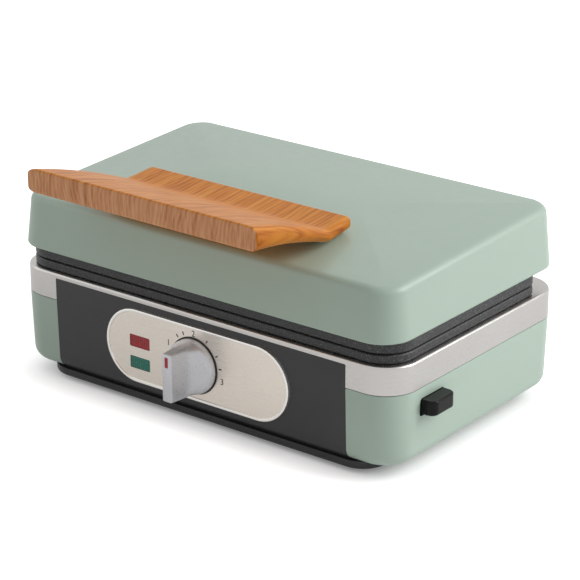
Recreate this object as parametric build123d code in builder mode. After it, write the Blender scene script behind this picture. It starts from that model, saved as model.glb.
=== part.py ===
"""Sandwich and waffle maker with a hinged lid, removable waffle plates and a wooden handle.

Millimetres. +Z is up, +X is to the right for someone who stands in front, and the front faces -Y.
The origin lies on the floor, under the middle of the machine's box.
"""

import math
import os

from build123d import *

# Housing: one outline for the base and the steel band, a slightly narrower one for the lid
body_width = 290.0
body_front = -69.0
body_back = 109.0
body_corner = 23.0
front_bow = 2.0
side_bow = 1.0
shell_wall = 2.4
lid_width = 287.0
lid_front = -69.7
lid_back = 108.7
lid_corner = 26.0

# Heights above the floor, from the bottom up
feet_height = 3.0
tray_height = 10.3
shell_height = 41.5
reveal = 0.6
band_height = 17.1
lower_rim_height = 5.8
plate_gap = 0.4
upper_rim_height = 7.8
tray_bottom = feet_height
shell_bottom = tray_bottom + tray_height
shell_top = shell_bottom + shell_height
band_bottom = shell_top + reveal
band_top = band_bottom + band_height
lower_split = band_top + lower_rim_height
upper_split = lower_split + plate_gap
lid_bottom = upper_split + upper_rim_height

# Base shell
base_draft = 1.0
base_edge_radius = 7.5
shell_floor = 2.6
lip_wall = 2.2
lip_height = 5.0
fit = 0.2

# Steel band with its top flange
steel_sheet = 1.2
band_edge_radius = 1.6
opening_half_width = 136.0
opening_front = -59.5
opening_back = 79.5
opening_corner = 14.0

# Black front panel
panel_half_width = 111.0
panel_wall = 3.0
panel_top_gap = 2.9
panel_clearance = 0.15
panel_back_gap = 1.0

# Bottom tray, its feet and screws
tray_half_width = 124.0
tray_front = -63.5
tray_back = 103.5
tray_corner = 22.0
tray_wall = 2.4
tray_edge_radius = 2.5
vent_length = 34.0
vent_width = 3.2
vent_pitch = 8.0
vent_count = 6
vent_column_x = 58.0
foot_radius = 7.5
foot_stem_radius = 3.0
foot_stem_length = 4.5
foot_x = 102.0
foot_front_y = -44.0
foot_back_y = 84.0
screw_x = 112.0
screw_front_y = -20.0
screw_back_y = 60.0
screw_radius = 1.6
screw_head_radius = 3.0
screw_head_height = 2.0
screw_clearance = 0.15
pillar_radius = 4.5
pillar_x = 100.0
pillar_front_y = -30.0
pillar_back_y = 50.0

# Waffle plates
rim_half_width = 141.5
rim_front = -66.0
rim_back = 85.0
rim_front_corner = 20.0
rim_back_corner = 9.0
rim_edge_radius = 1.5
skirt_half_width = 133.0
skirt_front = -57.5
skirt_back = 76.5
skirt_corner = 11.0
skirt_depth = 10.5
field_half_width = 127.0
field_front = -52.0
field_back = 71.0
field_corner = 8.0
field_depth = 11.3
field_divider = 5.0
plate_floor = 3.5
stud_count = 5
stud_base = 17.0
stud_height = 8.0
stud_taper = 18.0
stud_pitch_x = 24.4
stud_pitch_y = 24.6
lug_depth = 2.5
lug_height = 3.1
lug_from_rim = 6.9
lug_length = 16.0

# Heating elements on their reflector pans
element_radius = 3.25
element_half_width = 98.0
element_front = -34.0
element_back = 54.0
element_lead_x = 14.0
element_lead_back = 72.0
element_bend = 12.0
element_clearance = 0.3
pan_half_width = 126.0
pan_front = -50.0
pan_back = 69.0
pan_corner = 14.0
pan_depth = 10.0
pan_sheet = 0.8
pan_below_element = 7.5
pan_slot_width = 44.0
clip_width = 9.0
clip_length = 6.0
clip_x = 60.0
clip_back_x = 52.0
clip_clearance = 0.1

# Control plate, lamps and knob
control_half_length = 70.5
control_radius = 23.8
control_height = 41.0
control_seat_depth = 0.8
control_face_proud = 1.2
control_rim_proud = 1.9
control_rim_width = 3.2
control_chamfer = 0.6
lens_x = -42.3
lens_width = 15.5
lens_height = 7.7
power_lens_z = 44.5
ready_lens_z = 30.5
lens_recess = 0.4
lens_flange = 1.6
lens_flange_thick = 1.4
lens_corner = 0.8
lamp_length = 14.0
lamp_width = 12.0
lamp_height = 6.0
knob_z = 40.2
knob_radius = 17.1
knob_depth = 21.3
knob_gap = 0.5
knob_base_thick = 4.6
knob_bar_width = 7.2
knob_bar_slack = 3.2
knob_edge_radius = 0.9
knob_bore_depth = 14.0
pointer_width = 2.6
pointer_length = 6.6
pointer_from_top = 3.6
pointer_depth = 0.5
shaft_radius = 3.0
shaft_clearance = 0.05
thermostat_width = 34.0
thermostat_height = 22.0
thermostat_depth = 24.0
thermostat_bush_radius = 5.5
thermostat_corner = 2.0

# Plate latches: one on the base's right, one on the lid's left
latch_y = -31.0
latch_pivot_from_wall = 7.6
latch_pivot_offset = 7.0
latch_hook_height = 2.4
latch_hook_gap = 0.4
latch_hook_bite = 0.9
latch_stem = 2.2
latch_stem_width = 18.0
latch_boss_radius = 2.3
latch_pin_radius = 1.5
latch_pin_clearance = 0.05
latch_ear = 1.0
latch_ear_gap = 0.6
latch_ear_reach = 3.2
latch_ear_end = 2.2
button_width = 23.0
button_height = 9.2
button_reach = 154.0
button_corner = 5.0
button_edge = 1.2
button_slot_gap = 0.4
button_slot_drop = 1.4
lower_button_z = 43.1
upper_button_z = 107.6
spring_wire = 0.9
spring_length = 3.2
spring_gap = 0.3
spring_leg = 7.0

# Hinge
hinge_y = body_back
hinge_z = 79.5
hinge_x = 92.0
hinge_radius = 6.0
hinge_pin_radius = 2.5
hinge_pin_clearance = 0.05
hinge_base_width = 16.0
hinge_lid_width = 8.0
hinge_side_gap = 0.4
hinge_leaf = 1.6
hinge_leaf_front = 90.0
hinge_leaf_gap = 7.0
hinge_head_radius = 4.0
hinge_head_height = 1.2
hinge_screw_radius = 1.4
hinge_screw_head_radius = 2.8
hinge_screw_head_height = 1.4
hinge_screw_length = 6.0
hinge_screw_y = 95.0
hinge_screw_x = 11.0

# Lid
lid_height = 39.0
lid_front_fall = 3.3
lid_crown_radius = 2400.0
lid_draft = 3.6
lid_edge_radius = 5.5
lid_lower_edge = 1.0
lid_wall = 2.2
lid_frame_thick = 2.0
lid_boss_radius = 3.6
lid_screw_radius = 1.5
lid_screw_head_radius = 3.0
lid_screw_head_height = 1.5
lid_screw_length = 9.0
lid_screw_front_x = 100.0
lid_screw_front_y = -63.0
lid_screw_back_x = 60.0
lid_screw_back_y = 98.0

# Handle: a thick bent board whose back lies on the lid and whose front rises clear of it
handle_back = -13.0
handle_back_top = 134.4
handle_back_bottom = 125.8
handle_bend = -38.5
handle_bend_top = 132.0
handle_bend_bottom = 123.3
handle_middle = -73.0
handle_middle_top = 146.7
handle_middle_bottom = 134.2
handle_front = -115.0
handle_front_top = 158.7
handle_front_bottom = 143.0
handle_back_half_width = 75.0
handle_front_half_width = 81.5
handle_end_radius = 3.8
handle_edge_radius = 1.4
handle_bend_radius = 5.0
seat_inset = 1.2
seat_back = -10.5
seat_corner = 3.0
handle_screw_x = 48.0
handle_screw_y = -26.0
handle_screw_radius = 2.0
handle_screw_head_radius = 4.0
handle_screw_head_height = 2.2
handle_screw_grip = 6.0
handle_screw_clearance = 0.2
handle_pad_drop = 0.5

# Cord inlet at the back
inlet_x = 96.0
inlet_z = 30.0
inlet_bore_radius = 3.75
inlet_neck_radius = 6.0
inlet_flange_radius = 8.5
inlet_flange_thick = 2.0
inlet_inner = 5.0
terminal_width = 36.0
terminal_depth = 16.0
terminal_height = 14.0
terminal_y = 86.0

# Places worked out from the sizes above
half_body = body_width / 2
body_centre_y = (body_front + body_back) / 2
half_lid = lid_width / 2
panel_top = band_top - panel_top_gap
panel_inner_y = body_front + panel_wall + panel_back_gap
control_seat_y = body_front + control_seat_depth
control_face_y = body_front - control_face_proud
control_rim_y = body_front - control_rim_proud
knob_back_y = control_face_y - knob_gap
knob_front_y = knob_back_y - knob_depth
lower_element_z = lower_split - field_depth - plate_floor - element_clearance - element_radius
upper_element_z = upper_split + field_depth + plate_floor + element_clearance + element_radius
lower_pan_z = lower_element_z - pan_below_element
upper_pan_z = upper_element_z + pan_below_element
lid_top_back = lid_bottom + lid_height
lid_middle_y = (lid_front + lid_back) / 2
lug_reach = skirt_half_width + lug_depth
latch_x = half_body - latch_pivot_from_wall
lower_hook_face = band_top - lug_from_rim + latch_hook_gap
upper_hook_face = lid_bottom + lug_from_rim - latch_hook_gap
lower_pivot_z = lower_hook_face - latch_pivot_offset
upper_pivot_z = upper_hook_face + latch_pivot_offset
hinge_lid_offset = hinge_base_width / 2 + hinge_side_gap + hinge_lid_width / 2
hinge_end = hinge_base_width / 2 + hinge_side_gap + hinge_lid_width
foot_places = [(x, y) for x in (-foot_x, foot_x) for y in (foot_front_y, foot_back_y)]
screw_places = [(x, y) for x in (-screw_x, screw_x) for y in (screw_front_y, screw_back_y)]
pillar_places = [(x, y) for x in (-pillar_x, pillar_x) for y in (pillar_front_y, pillar_back_y)]
lid_screw_places = [(-lid_screw_front_x, lid_screw_front_y), (lid_screw_front_x, lid_screw_front_y)]
lid_screw_places += [(-lid_screw_back_x, lid_screw_back_y), (lid_screw_back_x, lid_screw_back_y)]
clip_places = [(-clip_x, element_front), (clip_x, element_front)]
clip_places += [(-clip_back_x, element_back), (clip_back_x, element_back)]

os.makedirs("parts", exist_ok=True)


def finish(piece, name):
    """Labels a finished piece and writes it."""
    piece.part.label = name
    export_step(piece.part, f"parts/{name}.step")


def bowed_outline(half_width, front, back, front_corner, back_corner):
    """Rounded rectangle whose four sides swell gently outwards."""
    corner_x = half_width - side_bow
    corner_front = front + front_bow
    corner_back = back - side_bow
    middle_y = (front + back) / 2
    with BuildSketch() as outline:
        with BuildLine():
            ThreePointArc((-corner_x, corner_front), (0, front), (corner_x, corner_front))
            ThreePointArc((corner_x, corner_front), (half_width, middle_y), (corner_x, corner_back))
            ThreePointArc((corner_x, corner_back), (0, back), (-corner_x, corner_back))
            ThreePointArc((-corner_x, corner_back), (-half_width, middle_y), (-corner_x, corner_front))
        make_face()
        fillet(outline.vertices().group_by(Axis.Y)[0], radius=front_corner)
        fillet(outline.vertices().group_by(Axis.Y)[-1], radius=back_corner)
    return outline.sketch


def rounded_box(half_width, front, back, front_corner, back_corner):
    """Rounded rectangle with straight sides."""
    with BuildSketch() as outline:
        with Locations((0, (front + back) / 2)):
            Rectangle(2 * half_width, back - front)
        fillet(outline.vertices().group_by(Axis.Y)[0], radius=front_corner)
        fillet(outline.vertices().group_by(Axis.Y)[-1], radius=back_corner)
    return outline.sketch


def body_outline(inset):
    """The housing's outline, moved inwards by inset."""
    corner = body_corner - inset
    return bowed_outline(half_body - inset, body_front + inset, body_back - inset, corner, corner)


def housing_block(inset, bottom, top):
    """Solid of the drafted base and the upright band above it, inset from the outer surface."""
    with BuildPart() as block:
        with BuildSketch(Plane.XY.offset(band_bottom)):
            add(body_outline(inset))
        extrude(amount=bottom - band_bottom, taper=base_draft)
        fillet(block.faces().sort_by(Axis.Z)[0].edges(), radius=base_edge_radius - inset)
        with BuildSketch(Plane.XY.offset(band_bottom)):
            add(body_outline(inset))
        extrude(amount=top - band_bottom)
    return block.part


def lid_block(inset, drop):
    """Crowned, drafted solid of the lid, inset at the sides and dropped at the top."""
    crown_low = lid_top_back - drop
    fall = math.degrees(math.atan(lid_front_fall / (lid_back - lid_front)))
    crown_plane = Plane(
        origin=(0, lid_back, crown_low),
        x_dir=(1, 0, 0),
        z_dir=(0, -math.cos(math.radians(fall)), -math.sin(math.radians(fall))),
    )
    with BuildPart() as block:
        with BuildSketch(Plane.XY.offset(lid_bottom)):
            corner = lid_corner - inset
            add(bowed_outline(half_lid - inset, lid_front + inset, lid_back - inset, corner, corner))
        extrude(amount=lid_height + lid_edge_radius, taper=lid_draft)
        with BuildSketch(crown_plane):
            with Locations((0, -lid_crown_radius)):
                Circle(lid_crown_radius)
        extrude(amount=2 * (lid_back - lid_front), both=True, mode=Mode.INTERSECT)
        fillet(block.faces().sort_by(Axis.Z)[-1].edges(), radius=lid_edge_radius - inset)
    return block.part


# Solids that several pieces are cut from
outer_housing = housing_block(0, shell_bottom, band_top)
inner_housing = housing_block(shell_wall, shell_bottom + shell_floor, band_top)
panel_cavity = housing_block(panel_wall, shell_bottom, band_top)
outer_lid = lid_block(0, 0)
middle_lid = lid_block(lid_wall / 2, lid_wall / 2)
inner_lid = lid_block(lid_wall, lid_wall)


# Base shell: a drafted ring with a bottom flange, open at the front for the panel
with BuildPart() as base_shell:
    add(outer_housing)
    add(inner_housing, mode=Mode.SUBTRACT)
    with BuildSketch(Plane.XY.offset(shell_top)):
        Rectangle(2 * body_width, 4 * body_back)
    extrude(amount=2 * band_height, mode=Mode.SUBTRACT)
    with BuildSketch(Plane.XY.offset(shell_top - lip_wall)):
        add(body_outline(steel_sheet + fit))
        add(body_outline(steel_sheet + fit + lip_wall), mode=Mode.SUBTRACT)
    extrude(amount=lip_height)
    with BuildSketch(Plane.XY.offset(shell_bottom)):
        add(rounded_box(tray_half_width - 3 * tray_wall, tray_front + 3 * tray_wall,
                        tray_back - 3 * tray_wall, tray_corner / 2, tray_corner / 2))
    extrude(amount=shell_floor, mode=Mode.SUBTRACT)
    with BuildSketch(Plane.XZ.offset(-body_front - 2 * panel_wall)):
        with Locations((0, (shell_bottom + band_top) / 2)):
            Rectangle(2 * panel_half_width, 2 * body_back)
    extrude(amount=4 * panel_wall, mode=Mode.SUBTRACT)
    with BuildSketch(Plane.YZ.offset(half_body - 3 * shell_wall)):
        with Locations((latch_y, lower_button_z - button_slot_drop / 2)):
            Rectangle(button_width + 2 * button_slot_gap, button_height + 2 * button_slot_gap + button_slot_drop)
    extrude(amount=4 * shell_wall, mode=Mode.SUBTRACT)
    with BuildSketch(Plane.XZ.offset(-body_back - shell_wall)):
        with Locations((inlet_x, inlet_z)):
            Circle(inlet_neck_radius + fit)
    extrude(amount=4 * shell_wall, mode=Mode.SUBTRACT)
    with BuildSketch(Plane.XY.offset(shell_bottom)):
        with Locations(*screw_places):
            Circle(screw_radius + screw_clearance)
    extrude(amount=shell_floor, mode=Mode.SUBTRACT)
finish(base_shell, "base_shell")


# Steel band round the back, the sides and the front corners, with a flange that carries the plate
with BuildPart() as steel_trim:
    with BuildSketch(Plane.XY.offset(band_bottom)):
        add(body_outline(0))
    extrude(amount=band_height)
    fillet(steel_trim.faces().sort_by(Axis.Z)[-1].edges(), radius=band_edge_radius)
    with BuildSketch(Plane.XY.offset(band_bottom)):
        add(body_outline(steel_sheet))
    extrude(amount=band_height - steel_sheet, mode=Mode.SUBTRACT)
    with BuildSketch(Plane.XY.offset(band_bottom)):
        add(rounded_box(opening_half_width, opening_front, opening_back, opening_corner, opening_corner))
    extrude(amount=band_height, mode=Mode.SUBTRACT)
    with BuildSketch(Plane.XZ.offset(-body_front - 2 * panel_wall)):
        with Locations((0, band_bottom)):
            Rectangle(2 * panel_half_width, 2 * (panel_top + panel_clearance - band_bottom))
    extrude(amount=4 * panel_wall, mode=Mode.SUBTRACT)
    with BuildSketch(Plane.XY.offset(band_top - steel_sheet)):
        for hinge_side in (-hinge_x, hinge_x):
            with Locations((hinge_side - hinge_screw_x, hinge_screw_y), (hinge_side + hinge_screw_x, hinge_screw_y)):
                Circle(hinge_screw_radius + fit)
    extrude(amount=steel_sheet, mode=Mode.SUBTRACT)
finish(steel_trim, "steel_trim")


def stadium(half_length, radius):
    """Bar with round ends, centred on its plane."""
    with BuildSketch() as shape:
        SlotOverall(2 * half_length, 2 * radius)
    return shape.sketch


def front_plane(y):
    """Upright plane at y, with x to the right and z up, whose normal points to the front."""
    return Plane(origin=(0, y, 0), x_dir=(1, 0, 0), z_dir=(0, -1, 0))


# Black front panel, flush with the base below and the band's corners beside it
with BuildPart() as front_panel:
    add(outer_housing)
    add(panel_cavity, mode=Mode.SUBTRACT)
    with BuildSketch(front_plane(body_front + 2 * panel_wall)):
        with Locations((0, (shell_bottom + panel_top) / 2)):
            Rectangle(2 * (panel_half_width - panel_clearance), panel_top - shell_bottom)
    extrude(amount=4 * panel_wall, mode=Mode.INTERSECT)
    with BuildSketch(front_plane(control_seat_y)):
        with Locations((0, control_height)):
            add(stadium(control_half_length + panel_clearance, control_radius + panel_clearance))
    extrude(amount=panel_wall, mode=Mode.SUBTRACT)
    with BuildSketch(front_plane(panel_inner_y + panel_wall)):
        with Locations((0, knob_z)):
            Circle(thermostat_bush_radius + fit)
        with Locations((lens_x, power_lens_z), (lens_x, ready_lens_z)):
            Rectangle(lens_width + fit, lens_height + fit)
    extrude(amount=4 * panel_wall, mode=Mode.SUBTRACT)
finish(front_panel, "front_panel")

# Steel control plate with a raised, bevelled rim
with BuildPart() as control_plate:
    with BuildSketch(front_plane(control_seat_y)):
        with Locations((0, control_height)):
            add(stadium(control_half_length, control_radius))
    extrude(amount=control_seat_y - control_rim_y)
    chamfer(control_plate.faces().sort_by(Axis.Y)[0].edges(), length=control_chamfer)
    with BuildSketch(front_plane(control_face_y)):
        with Locations((0, control_height)):
            add(stadium(control_half_length - control_rim_width, control_radius - control_rim_width))
    extrude(amount=control_rim_proud, mode=Mode.SUBTRACT)
    with BuildSketch(front_plane(control_seat_y)):
        with Locations((0, knob_z)):
            Circle(thermostat_bush_radius + fit)
        with Locations((lens_x, power_lens_z), (lens_x, ready_lens_z)):
            RectangleRounded(lens_width + fit, lens_height + fit, lens_corner)
    extrude(amount=2 * control_rim_proud, mode=Mode.SUBTRACT)
finish(control_plate, "control_plate")

# Two lamp lenses with a flange behind the panel, and the lamps that sit behind them
for lens_name, lens_z in (("power_lens", power_lens_z), ("ready_lens", ready_lens_z)):
    with BuildPart() as lens:
        with BuildSketch(front_plane(panel_inner_y + lens_flange_thick)):
            with Locations((lens_x, lens_z)):
                Rectangle(lens_width + 2 * lens_flange, lens_height + 2 * lens_flange)
        extrude(amount=lens_flange_thick)
        with BuildSketch(front_plane(panel_inner_y + lens_flange_thick)):
            with Locations((lens_x, lens_z)):
                RectangleRounded(lens_width, lens_height, lens_corner)
        extrude(amount=panel_inner_y + lens_flange_thick - control_face_y - lens_recess)
    finish(lens, lens_name)

with BuildPart() as lamp_holders:
    with BuildSketch(front_plane(panel_inner_y + lens_flange_thick + fit)):
        with Locations((lens_x, power_lens_z), (lens_x, ready_lens_z)):
            Rectangle(lamp_width, lamp_height)
    extrude(amount=-lamp_length)
finish(lamp_holders, "lamp_holders")

# Thermostat behind the panel, with a bush through it, and the shaft that turns with the knob
with BuildPart() as thermostat_body:
    with BuildSketch(front_plane(panel_inner_y)):
        with Locations((0, knob_z)):
            RectangleRounded(thermostat_width, thermostat_height, thermostat_corner)
    extrude(amount=-thermostat_depth)
    with BuildSketch(front_plane(panel_inner_y)):
        with Locations((0, knob_z)):
            Circle(thermostat_bush_radius)
    extrude(amount=panel_inner_y - control_face_y)
    with BuildSketch(front_plane(panel_inner_y + thermostat_depth / 2)):
        with Locations((0, knob_z)):
            Circle(shaft_radius + shaft_clearance)
    extrude(amount=thermostat_depth, mode=Mode.SUBTRACT)
finish(thermostat_body, "thermostat_body")

with BuildPart() as thermostat_shaft:
    with BuildSketch(front_plane(panel_inner_y + thermostat_depth / 2 - fit)):
        with Locations((0, knob_z)):
            Circle(shaft_radius)
    extrude(amount=panel_inner_y + thermostat_depth / 2 - fit - knob_back_y + knob_bore_depth - fit)
finish(thermostat_shaft, "thermostat_shaft")

# Knob: a round base whose flanks are scooped away to leave an upright grip bar
scoop_y = knob_back_y - knob_base_thick
bar_half = knob_bar_width / 2
with BuildPart() as knob:
    with BuildSketch(front_plane(knob_back_y)):
        with Locations((0, knob_z)):
            Circle(knob_radius)
    extrude(amount=knob_depth)
    with BuildSketch(Plane.XY.offset(knob_z)):
        with BuildLine():
            ThreePointArc(
                (bar_half, knob_front_y - knob_gap),
                (bar_half + knob_bar_slack, scoop_y - knob_bar_slack),
                (knob_radius + knob_gap, scoop_y),
            )
            Polyline(
                (knob_radius + knob_gap, scoop_y),
                (knob_radius + knob_gap, knob_front_y - knob_gap),
                (bar_half, knob_front_y - knob_gap),
            )
        make_face()
        mirror(about=Plane.YZ)
    extrude(amount=knob_radius + knob_gap, both=True, mode=Mode.SUBTRACT)
    chamfer(knob.faces().sort_by(Axis.Y)[0].edges(), length=knob_edge_radius / 2)
    with BuildSketch(front_plane(knob_back_y)):
        with Locations((0, knob_z)):
            Circle(shaft_radius)
    extrude(amount=knob_bore_depth, mode=Mode.SUBTRACT)
    with BuildSketch(front_plane(knob_front_y)):
        with Locations((0, knob_z + knob_radius - pointer_from_top - pointer_length / 2)):
            Rectangle(pointer_width, pointer_length)
    extrude(amount=-pointer_depth, mode=Mode.SUBTRACT)
finish(knob, "knob")

with BuildPart() as pointer_mark:
    with BuildSketch(front_plane(knob_front_y)):
        with Locations((0, knob_z + knob_radius - pointer_from_top - pointer_length / 2)):
            Rectangle(pointer_width, pointer_length)
    extrude(amount=-pointer_depth)
finish(pointer_mark, "pointer_mark")

# Bottom tray: a shallow dish with vents, four foot sockets and four pillars for the lower pan
with BuildPart() as bottom_tray:
    with BuildSketch(Plane.XY.offset(tray_bottom)):
        add(rounded_box(tray_half_width, tray_front, tray_back, tray_corner, tray_corner))
    extrude(amount=tray_height)
    fillet(bottom_tray.faces().sort_by(Axis.Z)[0].edges(), radius=tray_edge_radius)
    with BuildSketch(Plane.XY.offset(tray_bottom + tray_wall)):
        add(rounded_box(tray_half_width - tray_wall, tray_front + tray_wall, tray_back - tray_wall,
                        tray_corner - tray_wall, tray_corner - tray_wall))
    extrude(amount=tray_height, mode=Mode.SUBTRACT)
    with BuildSketch(Plane.XY.offset(tray_bottom + tray_wall)):
        with Locations(*screw_places):
            Circle(screw_head_radius + tray_wall)
    extrude(amount=tray_height - tray_wall)
    with BuildSketch(Plane.XY.offset(tray_bottom + tray_wall)):
        with Locations(*pillar_places):
            Circle(pillar_radius)
    extrude(amount=lower_pan_z - tray_bottom - tray_wall)
    with BuildSketch(Plane.XY.offset(tray_bottom)):
        with Locations(*screw_places):
            Circle(screw_radius + screw_clearance)
        with Locations(*foot_places):
            Circle(foot_stem_radius)
        for column_x in (-vent_column_x, 0, vent_column_x):
            with Locations((column_x, body_centre_y)):
                with GridLocations(vent_length, vent_pitch, 1, vent_count):
                    SlotOverall(vent_length, vent_width)
    extrude(amount=tray_height, mode=Mode.SUBTRACT)
    with BuildSketch(Plane.XY.offset(tray_bottom)):
        with Locations(*screw_places):
            Circle(screw_head_radius + screw_clearance)
    extrude(amount=screw_head_height + screw_clearance, mode=Mode.SUBTRACT)
finish(bottom_tray, "bottom_tray")

with BuildPart() as rubber_feet:
    with BuildSketch():
        with Locations(*foot_places):
            Circle(foot_radius)
    extrude(amount=feet_height)
    chamfer(rubber_feet.faces().group_by(Axis.Z)[0].edges(), length=feet_height / 5)
    with BuildSketch(Plane.XY.offset(feet_height)):
        with Locations(*foot_places):
            Circle(foot_stem_radius)
    extrude(amount=foot_stem_length)
finish(rubber_feet, "rubber_feet")

with BuildPart() as bottom_screws:
    with BuildSketch(Plane.XY.offset(tray_bottom + screw_clearance)):
        with Locations(*screw_places):
            Circle(screw_head_radius)
    extrude(amount=screw_head_height)
    with BuildSketch(Plane.XY.offset(tray_bottom + screw_clearance + screw_head_height)):
        with Locations(*screw_places):
            Circle(screw_radius)
    extrude(amount=tray_height + shell_floor)
finish(bottom_screws, "bottom_screws")

# Cord inlet bush in the base's back wall and the terminal block inside
inlet_y = body_back - (band_bottom - inlet_z) * math.tan(math.radians(base_draft))
with BuildPart() as cord_inlet:
    with BuildSketch(Plane.XZ.offset(-inlet_y - inlet_flange_thick)):
        with Locations((inlet_x, inlet_z)):
            Circle(inlet_flange_radius)
    extrude(amount=inlet_flange_thick - fit)
    fillet(cord_inlet.faces().sort_by(Axis.Y)[-1].edges(), radius=inlet_flange_thick / 2)
    with BuildSketch(Plane.XZ.offset(-inlet_y - fit)):
        with Locations((inlet_x, inlet_z)):
            Circle(inlet_neck_radius)
    extrude(amount=shell_wall + inlet_inner)
    with BuildSketch(Plane.XZ.offset(-inlet_y - inlet_flange_thick)):
        with Locations((inlet_x, inlet_z)):
            Circle(inlet_bore_radius)
    extrude(amount=inlet_flange_thick + shell_wall + inlet_inner, mode=Mode.SUBTRACT)
finish(cord_inlet, "cord_inlet")

with BuildPart() as terminal_block:
    with BuildSketch(Plane.XY.offset(tray_bottom + tray_wall)):
        with Locations((0, terminal_y)):
            Rectangle(terminal_width, terminal_depth)
    extrude(amount=terminal_height)
    with BuildSketch(Plane.XY.offset(tray_bottom + tray_wall + terminal_height)):
        with Locations((0, terminal_y)):
            with GridLocations(terminal_width / 3, 1, 3, 1):
                Circle(terminal_depth / 6)
    extrude(amount=-terminal_height / 2, mode=Mode.SUBTRACT)
finish(terminal_block, "terminal_block")


def waffle_plate(face, rim_height):
    """Cast plate whose cooking side looks along the face plane's normal; the rim starts on that plane."""
    middle_y = (field_front + field_back) / 2
    field_width = field_half_width - field_divider / 2
    field_x = field_divider / 2 + field_width / 2
    with BuildPart() as casting:
        with BuildSketch(face):
            add(rounded_box(rim_half_width, rim_front, rim_back, rim_front_corner, rim_back_corner))
        extrude(amount=-rim_height)
        fillet(casting.faces().filter_by(Axis.Z).edges(), radius=rim_edge_radius)
        with BuildSketch(face.offset(-rim_height)):
            add(rounded_box(skirt_half_width, skirt_front, skirt_back, skirt_corner, skirt_corner))
        extrude(amount=-skirt_depth)
        with BuildSketch(face.offset(-field_depth - plate_floor)):
            add(rounded_box(skirt_half_width - plate_floor, skirt_front + plate_floor,
                            skirt_back - plate_floor, skirt_corner - plate_floor, skirt_corner - plate_floor))
        extrude(amount=-skirt_depth, mode=Mode.SUBTRACT)
        with BuildSketch(face):
            with Locations((-field_x, middle_y), (field_x, middle_y)):
                RectangleRounded(field_width, field_back - field_front, field_corner)
        extrude(amount=-field_depth, mode=Mode.SUBTRACT)
        with BuildSketch(face.offset(-field_depth)):
            with Locations((-field_x, middle_y), (field_x, middle_y)):
                with GridLocations(stud_pitch_x, stud_pitch_y, stud_count, stud_count):
                    Rectangle(stud_base, stud_base)
        extrude(amount=stud_height, taper=stud_taper)
        with BuildSketch(face.offset(-rim_height - lug_from_rim)):
            with Locations((lug_reach - lug_depth, latch_y), (lug_depth - lug_reach, latch_y)):
                Rectangle(2 * lug_depth, lug_length)
        extrude(amount=-lug_height)
    return casting.part


with BuildPart() as lower_plate:
    add(waffle_plate(Plane.XY.offset(lower_split), lower_rim_height))
finish(lower_plate, "lower_plate")

turned_over = Plane(origin=(0, 0, upper_split), x_dir=(-1, 0, 0), z_dir=(0, 0, -1))
with BuildPart() as upper_plate:
    add(waffle_plate(turned_over, upper_rim_height))
finish(upper_plate, "upper_plate")


def heating_element(height):
    """Tube bent into one loop, with both leads leaving at the back."""
    with BuildPart() as tube:
        with BuildLine() as route:
            FilletPolyline(
                (-element_lead_x, element_lead_back, height),
                (-element_lead_x, element_back, height),
                (-element_half_width, element_back, height),
                (-element_half_width, element_front, height),
                (element_half_width, element_front, height),
                (element_half_width, element_back, height),
                (element_lead_x, element_back, height),
                (element_lead_x, element_lead_back, height),
                radius=element_bend,
            )
        with BuildSketch(Plane(origin=route.line @ 0, z_dir=route.line % 0)):
            Circle(element_radius)
        sweep(path=route.line)
    return tube.part


def reflector_pan(floor_plane):
    """Sheet pan that opens along its plane's normal, with a notch at the back for the element's leads."""
    with BuildPart() as pan:
        with BuildSketch(floor_plane):
            add(rounded_box(pan_half_width, pan_front, pan_back, pan_corner, pan_corner))
        extrude(amount=pan_depth)
        with BuildSketch(floor_plane.offset(pan_sheet)):
            add(rounded_box(pan_half_width - pan_sheet, pan_front + pan_sheet, pan_back - pan_sheet,
                            pan_corner - pan_sheet, pan_corner - pan_sheet))
        extrude(amount=pan_depth, mode=Mode.SUBTRACT)
        with BuildSketch(floor_plane.offset(pan_sheet)):
            with Locations((0, pan_back)):
                Rectangle(pan_slot_width, 2 * pan_sheet + 2)
        extrude(amount=pan_depth, mode=Mode.SUBTRACT)
    return pan.part


def element_clips(floor_plane, height):
    """Saddle clips that stand on the pan and hold the element."""
    with BuildPart() as clips:
        with BuildSketch(floor_plane.offset(pan_sheet)):
            with Locations(*clip_places):
                Rectangle(clip_length, clip_width)
        extrude(amount=pan_below_element - pan_sheet)
        with BuildSketch(Plane.YZ.offset(-2 * clip_x)):
            with Locations((element_front, height), (element_back, height)):
                Circle(element_radius + clip_clearance)
        extrude(amount=4 * clip_x, mode=Mode.SUBTRACT)
    return clips.part


lower_pan_plane = Plane.XY.offset(lower_pan_z)
upper_pan_plane = Plane(origin=(0, 0, upper_pan_z), x_dir=(-1, 0, 0), z_dir=(0, 0, -1))
for level, pan_plane, element_z in (("lower", lower_pan_plane, lower_element_z), ("upper", upper_pan_plane, upper_element_z)):
    with BuildPart() as element:
        add(heating_element(element_z))
    finish(element, f"{level}_element")
    with BuildPart() as reflector:
        add(reflector_pan(pan_plane))
    finish(reflector, f"{level}_reflector")
    with BuildPart() as clips:
        add(element_clips(pan_plane, element_z))
    finish(clips, f"{level}_element_clips")


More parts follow.
